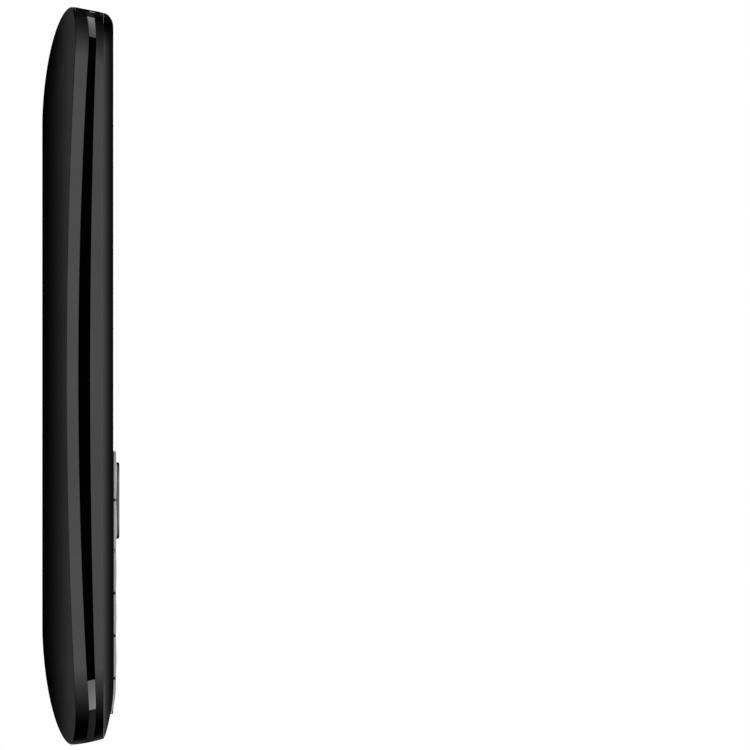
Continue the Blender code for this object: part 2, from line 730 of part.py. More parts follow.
bay_length = holders_middle - holder_length / 2 - running_gap - bay_wall - bay_low
bay_middle = bay_low + bay_length / 2
battery_length = bay_length - connector_size[1] - 3 * running_gap
battery_middle = bay_low + running_gap + battery_length / 2
bay_corner = battery_corner + running_gap
bay = slab("bay", rounded(bay_width + 2 * bay_wall, bay_length + 2 * bay_wall, bay_corner + bay_wall),
           battery_back, floor_back + floor_thickness / 2, (0.0, bay_middle))
cut(bay, slab("hole", rounded(bay_width, bay_length, bay_corner), battery_back - overrun,
              floor_front + overrun, (0.0, bay_middle)))
join(rear_housing, bay)
slab("battery", rounded(battery_width, battery_length, battery_corner), battery_back,
     battery_back + battery_thickness, (0.0, battery_middle), BATTERY_SLEEVE, edge=key_edge)
box("battery_connector", connector_size, (0.0, bay_low + bay_length - running_gap - connector_size[1] / 2),
    floor_back - seat_gap - connector_size[2])

# Card holders on the back of the floor, above the bay.
holder_height = 1.3 * MM
sim_width = 25.0 * MM
card_width = 12.0 * MM
holders_span = sim_width + card_width + running_gap
box("sim_holder", (sim_width, holder_length, holder_height), ((sim_width - holders_span) / 2, holders_middle),
    floor_back - seat_gap - holder_height, STEEL)
box("memory_card_holder", (card_width, holder_length, holder_height),
    ((holders_span - card_width) / 2, holders_middle), floor_back - seat_gap - holder_height, STEEL)

# Camera: a module under the floor, looking out of the back through a window set in the cover.
camera_window_radius = 3.4 * MM
camera_window_thickness = 0.7 * MM
window_sink = 0.12 * MM
box("camera_module", (camera_size, camera_size, floor_back - seat_gap - battery_back), (0.0, camera_middle),
    battery_back)
cut(rear_cover, disc("hole", camera_window_radius + seat_gap, -overrun, battery_back + overrun,
                     (0.0, camera_middle)))
disc("camera_window", camera_window_radius, window_sink, window_sink + camera_window_thickness,
     (0.0, camera_middle), LENS)

# Loudspeaker under the floor at the bottom end, facing three slots in the cover.
speaker_height = 3.0 * MM
speaker_slot = (9.0 * MM, 1.2 * MM)
speaker_slot_pitch = 2.4 * MM
disc("loudspeaker", speaker_radius, floor_back - seat_gap - speaker_height, floor_back - seat_gap,
     (0.0, speaker_middle), STEEL)
for step in (-1, 0, 1):
    opening = slab("slot", rounded(*speaker_slot, speaker_slot[1]), -overrun, battery_back + overrun,
                   (0.0, speaker_middle + step * speaker_slot_pitch))
    cut(rear_cover, opening)

# Vibration motor, hung under the floor beside the camera, with its half-round weight on the shaft.
motor_radius = 1.7 * MM
motor_length = 7.0 * MM
weight_radius = 1.9 * MM
weight_length = 3.0 * MM
shaft_radius = 0.4 * MM
motor_from_camera = 2.5 * MM
motor_z = floor_back - seat_gap - weight_radius
weight_left = -camera_size / 2 - motor_from_camera - weight_length
motor_left = weight_left - running_gap - motor_length
rod("vibration_motor", motor_radius, (motor_left, camera_middle, motor_z), motor_length, "X", STEEL)
weight = rod("vibration_weight", weight_radius, (weight_left, camera_middle, motor_z), weight_length, "X",
             STEEL)
half_block = (weight_length + 2 * overrun, 2 * weight_radius + 2 * overrun, weight_radius + overrun)
cut(weight, box("half", half_block, (weight_left + weight_length / 2, camera_middle), motor_z + shaft_radius))

# Main board, with room for the ports, and two shield cans on its back, between the screws' bosses.
boss_radius = 1.25 * MM
board_edge = 0.5 * MM
board_side, board_end = inner_side + board_edge, inner_end + board_edge
board = loft("main_board", [flat_ring(board_side, board_end, lambda y: board_back),
                            flat_ring(board_side, board_end, lambda y: board_front)], BOARD_GREEN)
port_pockets(board, board_back - overrun, board_front + overrun, inner_end)
shield_spacing = 3.0 * MM
left_shield_length = 20.0 * MM
right_shield_length = 14.0 * MM
shield_width = low_screw_x - boss_radius - 2 * running_gap - shield_spacing / 2
for side, way, length in (("left", -1, left_shield_length), ("right", 1, right_shield_length)):
    box(f"shield_can_{side}", (shield_width, length, shield_height),
        (way * (shield_width + shield_spacing) / 2, battery_middle), shield_back, STEEL)

# Screws from the back, through the floor and board into bosses on the front housing.
boss_bore = 0.85 * MM
top_screw_from_top = 12.2 * MM
top_screw_x = jack_x + jack_size[0] / 2 + 2 * running_gap + boss_radius
display_low = lens_middle - display_length / 2
low_screw_y = (display_low + keypad_top - key_gap) / 2
boss_back = floor_front + seat_gap
for row, x, y in (("top", top_screw_x, half_length - top_screw_from_top),
                  ("middle", low_screw_x, low_screw_y)):
    for side, way in (("left", -1), ("right", 1)):
        place = (way * x, y)
        join(front_housing, disc("boss", boss_radius, boss_back, housing_inside + lens_ledge / 2, place,
                                 sides=16))
        cut(front_housing, disc("bore", boss_bore, boss_back - overrun, housing_inside, place, sides=16))
        cut(rear_housing, disc("hole", boss_bore, floor_back - overrun, floor_front + overrun, place,
                               sides=16))
        cut(board, disc("hole", boss_radius + running_gap, board_back - overrun, board_front + overrun, place,
                        sides=16))
        screw = disc(f"screw_{row}_{side}", screw_head_radius, floor_back - seat_gap - screw_head_height,
                     floor_back - seat_gap, place, STEEL, 16)
        join(screw, disc("shank", screw_radius, floor_back - seat_gap - screw_head_height / 2,
                         housing_inside - seat_gap, place, STEEL, 16))
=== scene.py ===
"""Looks of the bar phone: finely moulded shells, trim, keys, glass and inner parts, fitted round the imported
frame."""

import math

import bmesh
import bpy
from mathutils import Matrix, Vector


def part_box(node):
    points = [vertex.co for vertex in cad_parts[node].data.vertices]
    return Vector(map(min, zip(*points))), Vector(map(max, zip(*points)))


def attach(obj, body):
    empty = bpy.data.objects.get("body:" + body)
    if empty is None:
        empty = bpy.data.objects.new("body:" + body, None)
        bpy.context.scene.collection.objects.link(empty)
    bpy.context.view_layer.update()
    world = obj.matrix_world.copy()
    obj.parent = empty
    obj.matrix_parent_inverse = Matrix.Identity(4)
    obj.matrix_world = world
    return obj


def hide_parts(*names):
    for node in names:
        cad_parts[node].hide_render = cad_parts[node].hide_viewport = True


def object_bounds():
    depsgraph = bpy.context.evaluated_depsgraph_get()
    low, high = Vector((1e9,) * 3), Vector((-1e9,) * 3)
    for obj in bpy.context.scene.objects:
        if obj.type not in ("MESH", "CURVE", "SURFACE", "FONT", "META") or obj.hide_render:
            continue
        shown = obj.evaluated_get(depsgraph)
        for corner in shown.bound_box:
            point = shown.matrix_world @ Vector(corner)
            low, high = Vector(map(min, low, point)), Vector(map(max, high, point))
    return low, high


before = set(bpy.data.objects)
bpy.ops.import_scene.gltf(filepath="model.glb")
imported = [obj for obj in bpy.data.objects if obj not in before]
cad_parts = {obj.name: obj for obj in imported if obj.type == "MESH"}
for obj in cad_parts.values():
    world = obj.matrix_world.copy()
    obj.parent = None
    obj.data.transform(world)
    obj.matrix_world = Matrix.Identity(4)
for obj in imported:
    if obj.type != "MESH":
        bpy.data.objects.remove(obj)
cad_low, cad_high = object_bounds()

# View, floor and light.
# The photograph shows the phone's left side square on, upright, with its back to the left of the picture.
# A long soft box stands on each side, as for a catalogue picture, and the surroundings are white.
MM = 0.001
camera_distance = 500 * MM
view_middle = (0.14 * MM, 54.68 * MM)
view_span = 123.23 * MM
camera_data = bpy.data.cameras.new("camera")
camera_data.type = "ORTHO"
camera_data.ortho_scale = view_span
camera_data.clip_end = 4 * camera_distance
camera = bpy.data.objects.new("camera", camera_data)
bpy.context.scene.collection.objects.link(camera)
camera.matrix_world = Matrix(((0, 0, -1, -camera_distance), (0, 1, 0, view_middle[0]),
                              (1, 0, 0, view_middle[1]), (0, 0, 0, 1)))
bpy.context.scene.camera = camera
bpy.context.scene.view_settings.view_transform = "Standard"


def linear(hex_colour):
    """A colour written as sRGB hex, as the linear values that shaders take."""
    parts = [int(hex_colour[i:i + 2], 16) / 255 for i in (1, 3, 5)]
    return (*(p / 12.92 if p <= 0.04045 else ((p + 0.055) / 1.055) ** 2.4 for p in parts), 1.0)


def node(tree, kind, settings=None, *sources, **links):
    """Adds a shader node and gives its properties and sockets their values. Sources go to its inputs in
    order, as links or as plain numbers, and links go to its inputs by name."""
    made = tree.nodes.new(kind)
    for name, value in (settings or {}).items():
        if hasattr(made, name):
            setattr(made, name, value)
        else:
            made.inputs[name].default_value = value
    for socket, source in zip(made.inputs, sources):
        if isinstance(source, bpy.types.NodeSocket):
            tree.links.new(source, socket)
        else:
            socket.default_value = source
    for name, source in links.items():
        tree.links.new(source, made.inputs[name])
    return made


def new_material(name, settings=None):
    """A new material with plain values on its shader, that shader, and the object's own space for its
    patterns."""
    material = bpy.data.materials.new(name)
    material.use_nodes = True
    shader = material.node_tree.nodes["Principled BSDF"]
    for socket, value in (settings or {}).items():
        shader.inputs[socket].default_value = value
    return material, shader, node(material.node_tree, "ShaderNodeTexCoord").outputs["Object"]


def noise(place, size, detail=2.0, **settings):
    return node(place.id_data, "ShaderNodeTexNoise", {"Scale": 1 / size, "Detail": detail, **settings},
                Vector=place).outputs["Fac"]


def drive(shader, pattern=None, rough=None, colours=None, bump=None, colour=None):
    """Lets a pattern run a shader's roughness and colour between two values each, and its bump, given as a
    strength and a depth. A colour of its own goes straight to the shader."""
    tree = shader.id_data
    if rough:
        wear = node(tree, "ShaderNodeMapRange", {"To Min": rough[0], "To Max": rough[1]}, Value=pattern)
        tree.links.new(wear.outputs["Result"], shader.inputs["Roughness"])
    if colours:
        tone = node(tree, "ShaderNodeMix", {"data_type": "RGBA"}, pattern)
        tone.inputs[6].default_value, tone.inputs[7].default_value = colours
        colour = tone.outputs[2]
    if colour:
        tree.links.new(colour, shader.inputs["Base Color"])
    if bump:
        relief = node(tree, "ShaderNodeBump", {"Strength": bump[0], "Distance": bump[1]}, Height=pattern)
        tree.links.new(relief.outputs["Normal"], shader.inputs["Normal"])


world_light = 0.25
world = bpy.data.worlds.new("white_studio")
world.use_nodes = True
tree = world.node_tree
tree.nodes.clear()
rays = node(tree, "ShaderNodeLightPath").outputs
seen = node(tree, "ShaderNodeMath", {"operation": "MAXIMUM"}, rays["Is Camera Ray"], rays["Is Glossy Ray"])
shown = node(tree, "ShaderNodeMath", {"operation": "MAXIMUM"}, seen.outputs[0], rays["Is Transmission Ray"])
soft, white = (node(tree, "ShaderNodeBackground", {"Color": linear("#FFFFFF"), "Strength": level}).outputs[0]
               for level in (world_light, 1.0))
mixed = node(tree, "ShaderNodeMixShader", None, shown.outputs[0], soft, white)
node(tree, "ShaderNodeOutputWorld", Surface=mixed.outputs[0])
bpy.context.scene.world = world

half_floor = 1.5
floor_drop = 0.02 * MM
mesh = bpy.data.meshes.new("floor")
corner_ways = ((-1, -1), (1, -1), (1, 1), (-1, 1))
mesh.from_pydata([(x * half_floor, y * half_floor, -floor_drop) for x, y in corner_ways], [], [(0, 1, 2, 3)])
floor = bpy.data.objects.new("floor", mesh)
bpy.context.scene.collection.objects.link(floor)
paper, shader, place = new_material("white_paper_sweep", {
    "Base Color": linear("#FDFDFD"), "Roughness": 0.9, "Specular IOR Level": 0.1})
tree = paper.node_tree
# The sheet can't be seen from below, so that the phone's back and its lowered cover show there.
underside = node(tree, "ShaderNodeMixShader", None, node(tree, "ShaderNodeNewGeometry").outputs["Backfacing"],
                 shader.outputs[0], node(tree, "ShaderNodeBsdfTransparent").outputs[0])
tree.links.new(underside.outputs[0], tree.nodes["Material Output"].inputs["Surface"])
mesh.materials.append(paper)


def soft_box(name, place, size, power, mirrored_in_gloss):
    """A rectangular lamp that faces the phone. Only the top one shows as a highlight on glossy faces."""
    data = bpy.data.lights.new(name, "AREA")
    data.shape = "RECTANGLE"
    data.size, data.size_y = size
    data.energy = power
    lamp = bpy.data.objects.new(name, data)
    lamp.visible_glossy = mirrored_in_gloss
    bpy.context.scene.collection.objects.link(lamp)
    lamp.location = place
    lamp.rotation_euler = (Vector((0, 0, 0)) - Vector(place)).to_track_quat("-Z", "Y").to_euler()


soft_box("left_soft_box", (-1.35, 0.0, 0.6), (1.6, 2.0), 14.0, False)
soft_box("right_soft_box", (1.35, 0.0, 0.6), (1.6, 2.0), 14.0, False)
soft_box("top_soft_box", (0.0, 0.0, 1.5), (1.4, 1.4), 8.0, True)
soft_box("foot_soft_box", (0.0, -1.4, 0.5), (0.8, 1.0), 4.0, False)
soft_box("head_soft_box", (0.0, 1.4, 0.5), (0.8, 1.0), 4.0, False)

# Rear cover.
# The real cover is a thin shell of polished black ABS that clips over the battery and wraps up to the phone's
# widest line. It is injection moulded, so its face is smooth with a faint ripple, and its rim has a small
# radius.
half_width = (cad_high.x - cad_low.x) / 2
half_length = (cad_high.y - cad_low.y) / 2
seam_gap = 0.05 * MM
bezel_gap = 0.008 * MM
tongue_gap = 0.06 * MM
tongue_depth = 0.5 * MM
cover_wall = 1.0 * MM
cover_rim = 1.3 * MM
cover_rebate = 1.04 * MM
band_lean_width = 1.38 * MM
band_lean_length = 1.0 * MM
back_dome_width = 9.0 * MM
back_dome_length = 19.5 * MM
back_corner_growth = 5.0 * MM
top_end_round = 9.0 * MM
bottom_end_round = 11.0 * MM
lip_radius = 0.06 * MM
front_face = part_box("front_housing")[1].z
CREASE_SHARES = (0.342, 0.470, 0.420)
CORNER_PEAK_SHARE = 0.905
END_FLATNESS = 2.8
SIDE_DOME_POWER = 3.0
END_DOME_POWER = 1.8
END_STEPS = 22
SIDE_STEPS = 26
DOME_STEPS = 34
LIP_TURNS = (0, 22.5, 45, 67.5, 90)


def end_turns():
    """Angles round an end, closer together towards the middle of the end and the straight side."""
    for step in range(END_STEPS):
        rise, rest = ((step + 0.5) / END_STEPS) ** 1.5, (1 - (step + 0.5) / END_STEPS) ** 1.5
        yield math.pi / 2 * rise / (rise + rest)


def outline(side_inset=0.0, top_inset=0.0, bottom_inset=None, rounding=0.0):
    """Points down the right side of the body's plan, drawn in by the insets, from the top's middle to the
    bottom's."""
    bottom_inset = top_inset if bottom_inset is None else bottom_inset
    width, power = half_width - side_inset, 2 / END_FLATNESS
    ends = []
    for inset, radius in ((top_inset, top_end_round + rounding), (bottom_inset, bottom_end_round + rounding)):
        reach = half_length - inset - radius
        ends.append([(width * math.sin(turn) ** power, reach + radius * math.cos(turn) ** power)
                     for turn in end_turns()] + [(width, reach)])
    top, bottom = ends[0], [(x, -y) for x, y in reversed(ends[1])]
    steps = [step / SIDE_STEPS for step in range(1, SIDE_STEPS)]
    return top + [(width, top[-1][1] + (bottom[0][1] - top[-1][1]) * step) for step in steps] + bottom


PLAN = outline()


def line_height(shares, y):
    """Height of a line round the body: bowed along the sides, highest near the corners, lower at the ends."""
    low, peak, tip = (share * front_face for share in shares)
    along = min(abs(y) / half_length, 1.0)
    if along < CORNER_PEAK_SHARE:
        return low + (peak - low) * (along / CORNER_PEAK_SHARE) ** 2
    rest = (1 - along) / (1 - CORNER_PEAK_SHARE)
    return peak - (peak - tip) * (1 - rest) ** 3


def crease(y):
    return line_height(CREASE_SHARES, y)


def dome_ring(share, rim=0.0, wall=0.0):
    """Half ring of the cover at a share of the height from the flat back to the crease."""
    side = 1 - share ** (1 / SIDE_DOME_POWER)
    end = 1 - (1 - (1 - share) ** END_DOME_POWER) ** (1 / END_DOME_POWER)
    points = outline(rim + (back_dome_width - rim) * side, rim + (back_dome_length - rim) * end,
                     rounding=back_corner_growth * end)
    return [(x, y, wall * (1 - share) + share * (crease(y_out) - seam_gap / 2))
            for (x, y), (_, y_out) in zip(points, PLAN)]


def whole_ring(half):
    return [Vector(point) for point in half] + [Vector((-x, y, z)) for x, y, z in reversed(half)]


def join(bm, rings, looped=False, capped=True):
    """Joins rings of places with four-sided faces. Its ends are capped, or joined to each other if it is
    looped."""
    rings = [[bm.verts.new(place) for place in ring] for ring in rings]
    for near, far in zip(rings, rings[1:] + (rings[:1] if looped else [])):
        for i in range(len(near)):
            j = (i + 1) % len(near)
            bm.faces.new((near[i], near[j], far[j], far[i]))
    if capped and not looped:
        bm.faces.new(rings[0])
        bm.faces.new(rings[-1])
    return rings


def piece(name, bm, sharp=40):
    """A new object from a bmesh, shaded smooth but for edges over an angle."""
    bmesh.ops.recalc_face_normals(bm, faces=bm.faces)
    if bm.calc_volume(signed=True) < 0:
        bmesh.ops.reverse_faces(bm, faces=bm.faces)
    made = bpy.data.meshes.new(name)
    bm.to_mesh(made)
    bm.free()
    thing = bpy.data.objects.new(name, made)
    bpy.context.scene.collection.objects.link(thing)
    return smooth(thing, sharp)


def skinned(name, rings, sharp=40, looped=False):
    """A closed body through rings of places."""
    bm = bmesh.new()
    join(bm, rings, looped)
    return piece(name, bm, sharp)


def loft(name, halves):
    """A closed body through half rings and their mirror images, its first and last ring closed with cross
    strips."""
    bm = bmesh.new()
    rings = join(bm, [whole_ring(half) for half in halves], capped=False)
    count = len(rings[0])
    for ring in (rings[0], rings[-1]):
        for i in range(count // 2 - 1):
            bm.faces.new((ring[i], ring[i + 1], ring[count - 2 - i], ring[count - 1 - i]))
    return piece(name, bm)


MOST_CORNERS = 12


def smooth(thing, sharp=40):
    """Shades a piece smooth, but for sharp edges and for its flat caps, which are the faces with many
    corners."""
    thing.data.shade_smooth()
    for face in thing.data.polygons:
        face.use_smooth = face.loop_total <= MOST_CORNERS
    thing.data.set_sharp_from_angle(angle=math.radians(sharp))
    return thing


def dress(thing, material, body, slot, *nodes):
    """Gives a piece its material and body, and hides the CAD nodes that it stands for. The slot is not used.
    """
    thing.data.materials.clear()
    thing.data.materials.append(material)
    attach(thing, body)
    if nodes:
        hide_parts(*nodes)
    return thing


def cut(target, cutter, operation="DIFFERENCE"):
    """Cuts a body out of the target, or joins it on, and drops it."""
    modifier = target.modifiers.new("cut", "BOOLEAN")
    modifier.operation = operation
    modifier.object = cutter
    graph = bpy.context.evaluated_depsgraph_get()
    made = bpy.data.meshes.new_from_object(target.evaluated_get(graph), depsgraph=graph)
    target.modifiers.clear()
    target.data = made
    bpy.data.objects.remove(cutter, do_unlink=True)
    return smooth(target)


lip = [(lip_radius * (1 - math.sin(math.radians(turn))), lip_radius * (1 - math.cos(math.radians(turn))))
       for turn in LIP_TURNS]
cover_outside = [dome_ring((step / DOME_STEPS) ** SIDE_DOME_POWER) for step in range(DOME_STEPS)]


def crease_lip(rise, inset, way):
    """Half ring of the small radius where a shell meets the crease: rise is up or down, inset is inwards."""
    return [(x, y, crease(y_out) + way * (seam_gap / 2 + rise))
            for (x, y), (_, y_out) in zip(outline(inset, inset), PLAN)]


cover_lip = [crease_lip(rise, inset, -1) for rise, inset in lip]
rebate = [crease_lip(rise, cover_rebate, -1) for rise in (0.0, tongue_depth + 3 * tongue_gap)]
COVER_INSIDE_SHARES = (0.74, 0.6, 0.46, 0.33, 0.22, 0.13, 0.07, 0.03, 0.0)
cover_inside = [dome_ring(share, cover_rim, cover_wall) for share in COVER_INSIDE_SHARES]
rear_cover = loft("rear_cover_shell", cover_outside + cover_lip + rebate + cover_inside)


corner_shade_span = (6 * MM, 16 * MM)
slant_start = 6.5 * MM
wiped_size = 9 * MM
ripple_depth = 0.01 * MM
CORNER_SHADE_FALL = 1.9
FLAT_BACK_FROM = -0.93


def abs_plastic(name, shaded, lit, rough, heights=(0.0, front_face), grain=0.35 * MM, specular=0.0, fall=1.6,
                polish=0.0, corners_from=(), even=False, top_slant=0.0, back_polish=0.0):
    """Black ABS as moulded. Its colour carries painted shade: it runs from a shaded to a lit tone between two
    heights on the phone, as the photograph shows, with faint wiped patches in its gloss and a fine ripple
    from the tool. polish is the weight of its gloss. corners_from gives, for the top and then the bottom end,
    how far from the tip the tone and the gloss start and stop rising out of the corner's painted shade, and
    an even plastic keeps its tone there. top_slant is how much further the top end's painted corner shade
    reaches for each step towards the front, and back_polish is added to the gloss of the faces that look
    backwards."""
    material, shader, place = new_material(name, {"IOR": 1.5, "Specular IOR Level": specular})
    tree = material.node_tree

    def ranged(value, low, high, start=0.0, stop=1.0):
        return node(tree, "ShaderNodeMapRange", {"From Min": start, "From Max": stop, "To Min": low,
                                                 "To Max": high}, Value=value).outputs["Result"]

    def scaled_by(vector, value):
        return node(tree, "ShaderNodeVectorMath", {"operation": "SCALE"}, vector, Scale=value).outputs[0]

    def maths(kind, *values):
        return node(tree, "ShaderNodeMath", {"operation": kind}, *values).outputs[0]

    patches = noise(place, wiped_size, 4.0)
    drive(shader, patches, rough)
    drive(shader, noise(place, grain), bump=(0.1, ripple_depth))
    split = node(tree, "ShaderNodeSeparateXYZ", Vector=place).outputs
    # Painted shade: the colour runs from the shaded tone to the lit tone between the two heights.
    tone = node(tree, "ShaderNodeMix", {"data_type": "RGBA"},
                maths("POWER", ranged(split["Z"], 0.0, 1.0, *heights), fall))
    tone.inputs[6].default_value = linear(shaded)
    tone.inputs[7].default_value = linear(lit)
    colour = scaled_by(tone.outputs[2], ranged(patches, 0.9, 1.1))
    # The gloss fades where a face turns away, so that the phone keeps its dark outline against the white
    # room.
    turned_away = node(tree, "ShaderNodeLayerWeight", {"Blend": 0.5}).outputs["Facing"]
    looks = node(tree, "ShaderNodeSeparateXYZ", Vector=node(tree, "ShaderNodeNewGeometry").outputs["Normal"])
    buffed = maths("ADD", ranged(patches, 0.8 * polish, 1.2 * polish),
                    ranged(looks.outputs["Z"], 0.0, back_polish, FLAT_BACK_FROM, -1.0))
    gloss = maths("MULTIPLY", buffed, ranged(turned_away, 1.0, 0.0))
    # Painted shade in the corners: unless the plastic is even, its colour darkens where the ends round into
    # the sides.
    if corners_from:
        lit_end_middle = ranged(maths("ABSOLUTE", split["X"]), 0.0, 1.0, corner_shade_span[1], corner_shade_span[0])
        forward = ranged(split["Z"], 0.0, top_slant * (front_face - slant_start), slant_start, front_face)
        slanted = maths("ADD", split["Y"], forward)
        ends = zip((1, -1), (slanted, split["Y"]), corners_from)
        along = maths("MINIMUM", *(ranged(y, 0.0, 1.0, way * (half_length - dark), way * (half_length - full))
                                    for way, y, (dark, full) in ends))
        corner_shade = maths("POWER", maths("MAXIMUM", lit_end_middle, along), CORNER_SHADE_FALL)
        gloss = maths("MULTIPLY", along, gloss)
        if not even:
            colour = scaled_by(colour, corner_shade)
    drive(shader, colour=colour)
    if polish:
        shader.inputs["Coat Roughness"].default_value = rough[0]
    if polish or corners_from:
        tree.links.new(gloss, shader.inputs["Coat Weight"])
    return material


widest_height = CREASE_SHARES[0] * front_face
# Painted shade: the cover is near black at its flat back and rises to dark grey at its widest line.
polished_black_abs = abs_plastic("polished_black_abs", "#020202", "#313132", (0.12, 0.18),
                                 (0.0, 1.1 * widest_height), polish=0.12, even=True, back_polish=0.5,
                                 corners_from=((2.0 * MM, 12.0 * MM), (2.0 * MM, 12.0 * MM)))
dress(rear_cover, polished_black_abs, "cover", "gloss_black_plastic", "rear_cover")

# Rear housing.
# The middle shell is one black ABS moulding: a leaning side band with a groove for the trim strip, and a
# floor that parts the battery from the board. Its band is left less polished than the cover and is coloured
# dark grey, with painted shade that darkens it towards the front rim and round its corners.
band_wall = 1.6 * MM
groove_depth = 0.8 * MM
panel_height = 4.1 * MM
panel_depth = 0.9 * MM
seat_gap = 0.12 * MM
running_gap = 0.3 * MM
bay_wall = 0.6 * MM
overrun = 1.0 * MM
floor_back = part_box("battery")[1].z + running_gap
floor_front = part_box("shield_can_left")[0].z - seat_gap
inner_side, inner_end = band_lean_width + band_wall, band_lean_length + band_wall
INLAY_BACK_SHARES = (0.507, 0.655, 0.597)
INLAY_FRONT_SHARES = (0.674, 0.758, 0.715)
BEZEL_LINE_SHARE = 0.862
BAND_BASE_SHARE = 0.385
BAND_LEAN_POWER = 1.7
BAND_STEPS = 6
bezel_line = BEZEL_LINE_SHARE * front_face


def inlay_back(y):
    return line_height(INLAY_BACK_SHARES, y)


def inlay_front(y):
    return line_height(INLAY_FRONT_SHARES, y)


def lean(z):
    base = BAND_BASE_SHARE * front_face
    return (max(0.0, z - base) / (bezel_line - base)) ** BAND_LEAN_POWER


def band_ring(height_at, depth=0.0):
    """Half ring on the side band: each point at its line's height, drawn in by the lean there and by a
    depth."""
    ring = []
    cache = {}
    for index, (_, y) in enumerate(PLAN):
        z = height_at(y)
        tilt = lean(z)
        key = round(tilt, 4)
        if key not in cache:
            cache[key] = outline(band_lean_width * tilt + depth, band_lean_length * tilt + depth)
        ring.append((*cache[key][index], z))
    return ring


def flat_ring(side_inset, end_inset, height_at):
    return [(x, y_in, height_at(y)) for (x, y_in), (_, y) in zip(outline(side_inset, end_inset), PLAN)]


def band_lip(line, way):
    """Half rings round an edge of the band: way is 1 where the band lies above the line and -1 where it lies
    below."""
    return [band_ring(lambda y: line(y) + way * rise, inset) for rise, inset in lip]


def band_between(low_line, high_line):
    """Half rings on the band between two lines, clear of the small radius at each."""
    rings = []
    for step in range(1, BAND_STEPS):
        share = step / BAND_STEPS
        rings.append(band_ring(lambda y: low_line(y) * (1 - share) + high_line(y) * share))
    return rings


def band_start(y):
    return crease(y) + seam_gap / 2


def band_end(y):
    return bezel_line - bezel_gap / 2


def tongue_foot(y):
    """Foot of the thin tongue inside the cover's rim, which keeps light out of the seam."""
    return crease(y) - tongue_depth


rear_housing = loft("rear_housing_shell", [
    flat_ring(band_wall, band_wall, lambda y: floor_back),
    flat_ring(band_wall, band_wall, tongue_foot),
    flat_ring(cover_rebate + tongue_gap, cover_rebate + tongue_gap, tongue_foot),
    flat_ring(cover_rebate + tongue_gap, cover_rebate + tongue_gap, band_start),
    *band_lip(band_start, 1)[::-1],
    *band_between(band_start, inlay_back),
    *band_lip(inlay_back, -1),
    band_ring(inlay_back, groove_depth),
    band_ring(inlay_front, groove_depth),
    *band_lip(inlay_front, 1)[::-1],
    *band_between(inlay_front, band_end),
    *band_lip(band_end, -1),
    flat_ring(inner_side, inner_end, band_end),
    flat_ring(inner_side, inner_end, lambda y: floor_front),
])


# Painted shade: the band is lighter at its widest line, darker towards the front rim and darker still round
# the corners.
satin_black_abs = abs_plastic("satin_black_abs", "#434344", "#4C4C4C", (0.26, 0.34),
                              (bezel_line, widest_height), fall=1.0, polish=0.12, top_slant=0.55,
                              corners_from=((-0.5 * MM, 8.0 * MM), (3.0 * MM, 12.5 * MM)))
dress(rear_housing, satin_black_abs, "phone", "gloss_black_plastic", "rear_housing")

# Trim strip and silver accents.
# A thin strip of black polycarbonate is pressed into the groove of the side band, with four short accents of
# silver-painted plastic near its ends. The strip drinks up light, and the accents are satin.
top_accent = (1.25 * MM, 4.45 * MM)
bottom_accent = (10.15 * MM, 5.3 * MM)
TRIM_LIP_TURNS = (0, 30, 60, 90)
trim_lip_radius = 0.05 * MM
trim_gap = 0.03 * MM
RING_COUNT = 2 * len(PLAN)


def place_at(y):
    """Place on the right side of a whole ring, counted in its points, where it reaches a distance along the
    phone."""
    for i, (high, low) in enumerate(zip(PLAN, PLAN[1:])):
        if high[1] >= y >= low[1]:
            return i + (high[1] - y) / (high[1] - low[1])
    return 0.0 if y > PLAN[0][1] else float(len(PLAN) - 1)


def along_ring(ring, place):
    first = math.floor(place)
    return ring[first % RING_COUNT].lerp(ring[(first + 1) % RING_COUNT], place - first)


def strip_section(low_line, high_line, depth, margin, proud):
    """Whole rings round the section of a strip, its two outer edges rounded."""
    section = []
    for line, way in ((low_line, 1), (high_line, -1)):
        for turn in TRIM_LIP_TURNS[::-way]:
            rise = margin + trim_lip_radius * (1 - math.sin(math.radians(turn)))
            inset = trim_lip_radius * (1 - math.cos(math.radians(turn))) - proud
            section.append((lambda y, line=line, way=way, rise=rise: line(y) + way * rise, inset))
    section.append((lambda y: high_line(y) - margin, depth - margin))
    section.append((lambda y: low_line(y) + margin, depth - margin))
    return [whole_ring(band_ring(height_at, inset)) for height_at, inset in section]


def strip_piece(name, places, low_line, high_line, depth, margin=trim_gap, proud=0.0):
    """A piece let into the side band, through places on the ring."""
    rings = strip_section(low_line, high_line, depth, margin, proud)
    return skinned(name, [[along_ring(ring, place) for ring in rings] for place in places], 30)


def mirrored(place):
    return RING_COUNT - 1 - place


def inlay_strip(name, side, start, stop, material, slot):
    """A piece of the trim between two places on the right side of the ring, mirrored if it belongs to the
    left."""
    if side == "left":
        start, stop = mirrored(stop), mirrored(start)
    places = [start, *range(math.floor(start) + 1, math.ceil(stop)), stop]
    strip = strip_piece(f"{name}_trim", places, inlay_back, inlay_front, groove_depth)
    dress(strip, material, "phone", slot, name)


black_polycarbonate = abs_plastic("black_polycarbonate", "#010101", "#020202", (0.35, 0.45))
# Painted sheen: the end pieces of the black strip are coloured a lighter grey than the side pieces.
sheened_end_polycarbonate = abs_plastic("black_polycarbonate_ends_painted_sheen", "#1A1A1B", "#252526", (0.35, 0.45))
silver_paint, shader, place = new_material("silver_painted_plastic", {"Metallic": 0.85})
tree = place.id_data
flakes = noise(place, 0.12 * MM, 1.0)
drive(shader, flakes, (0.3, 0.48))
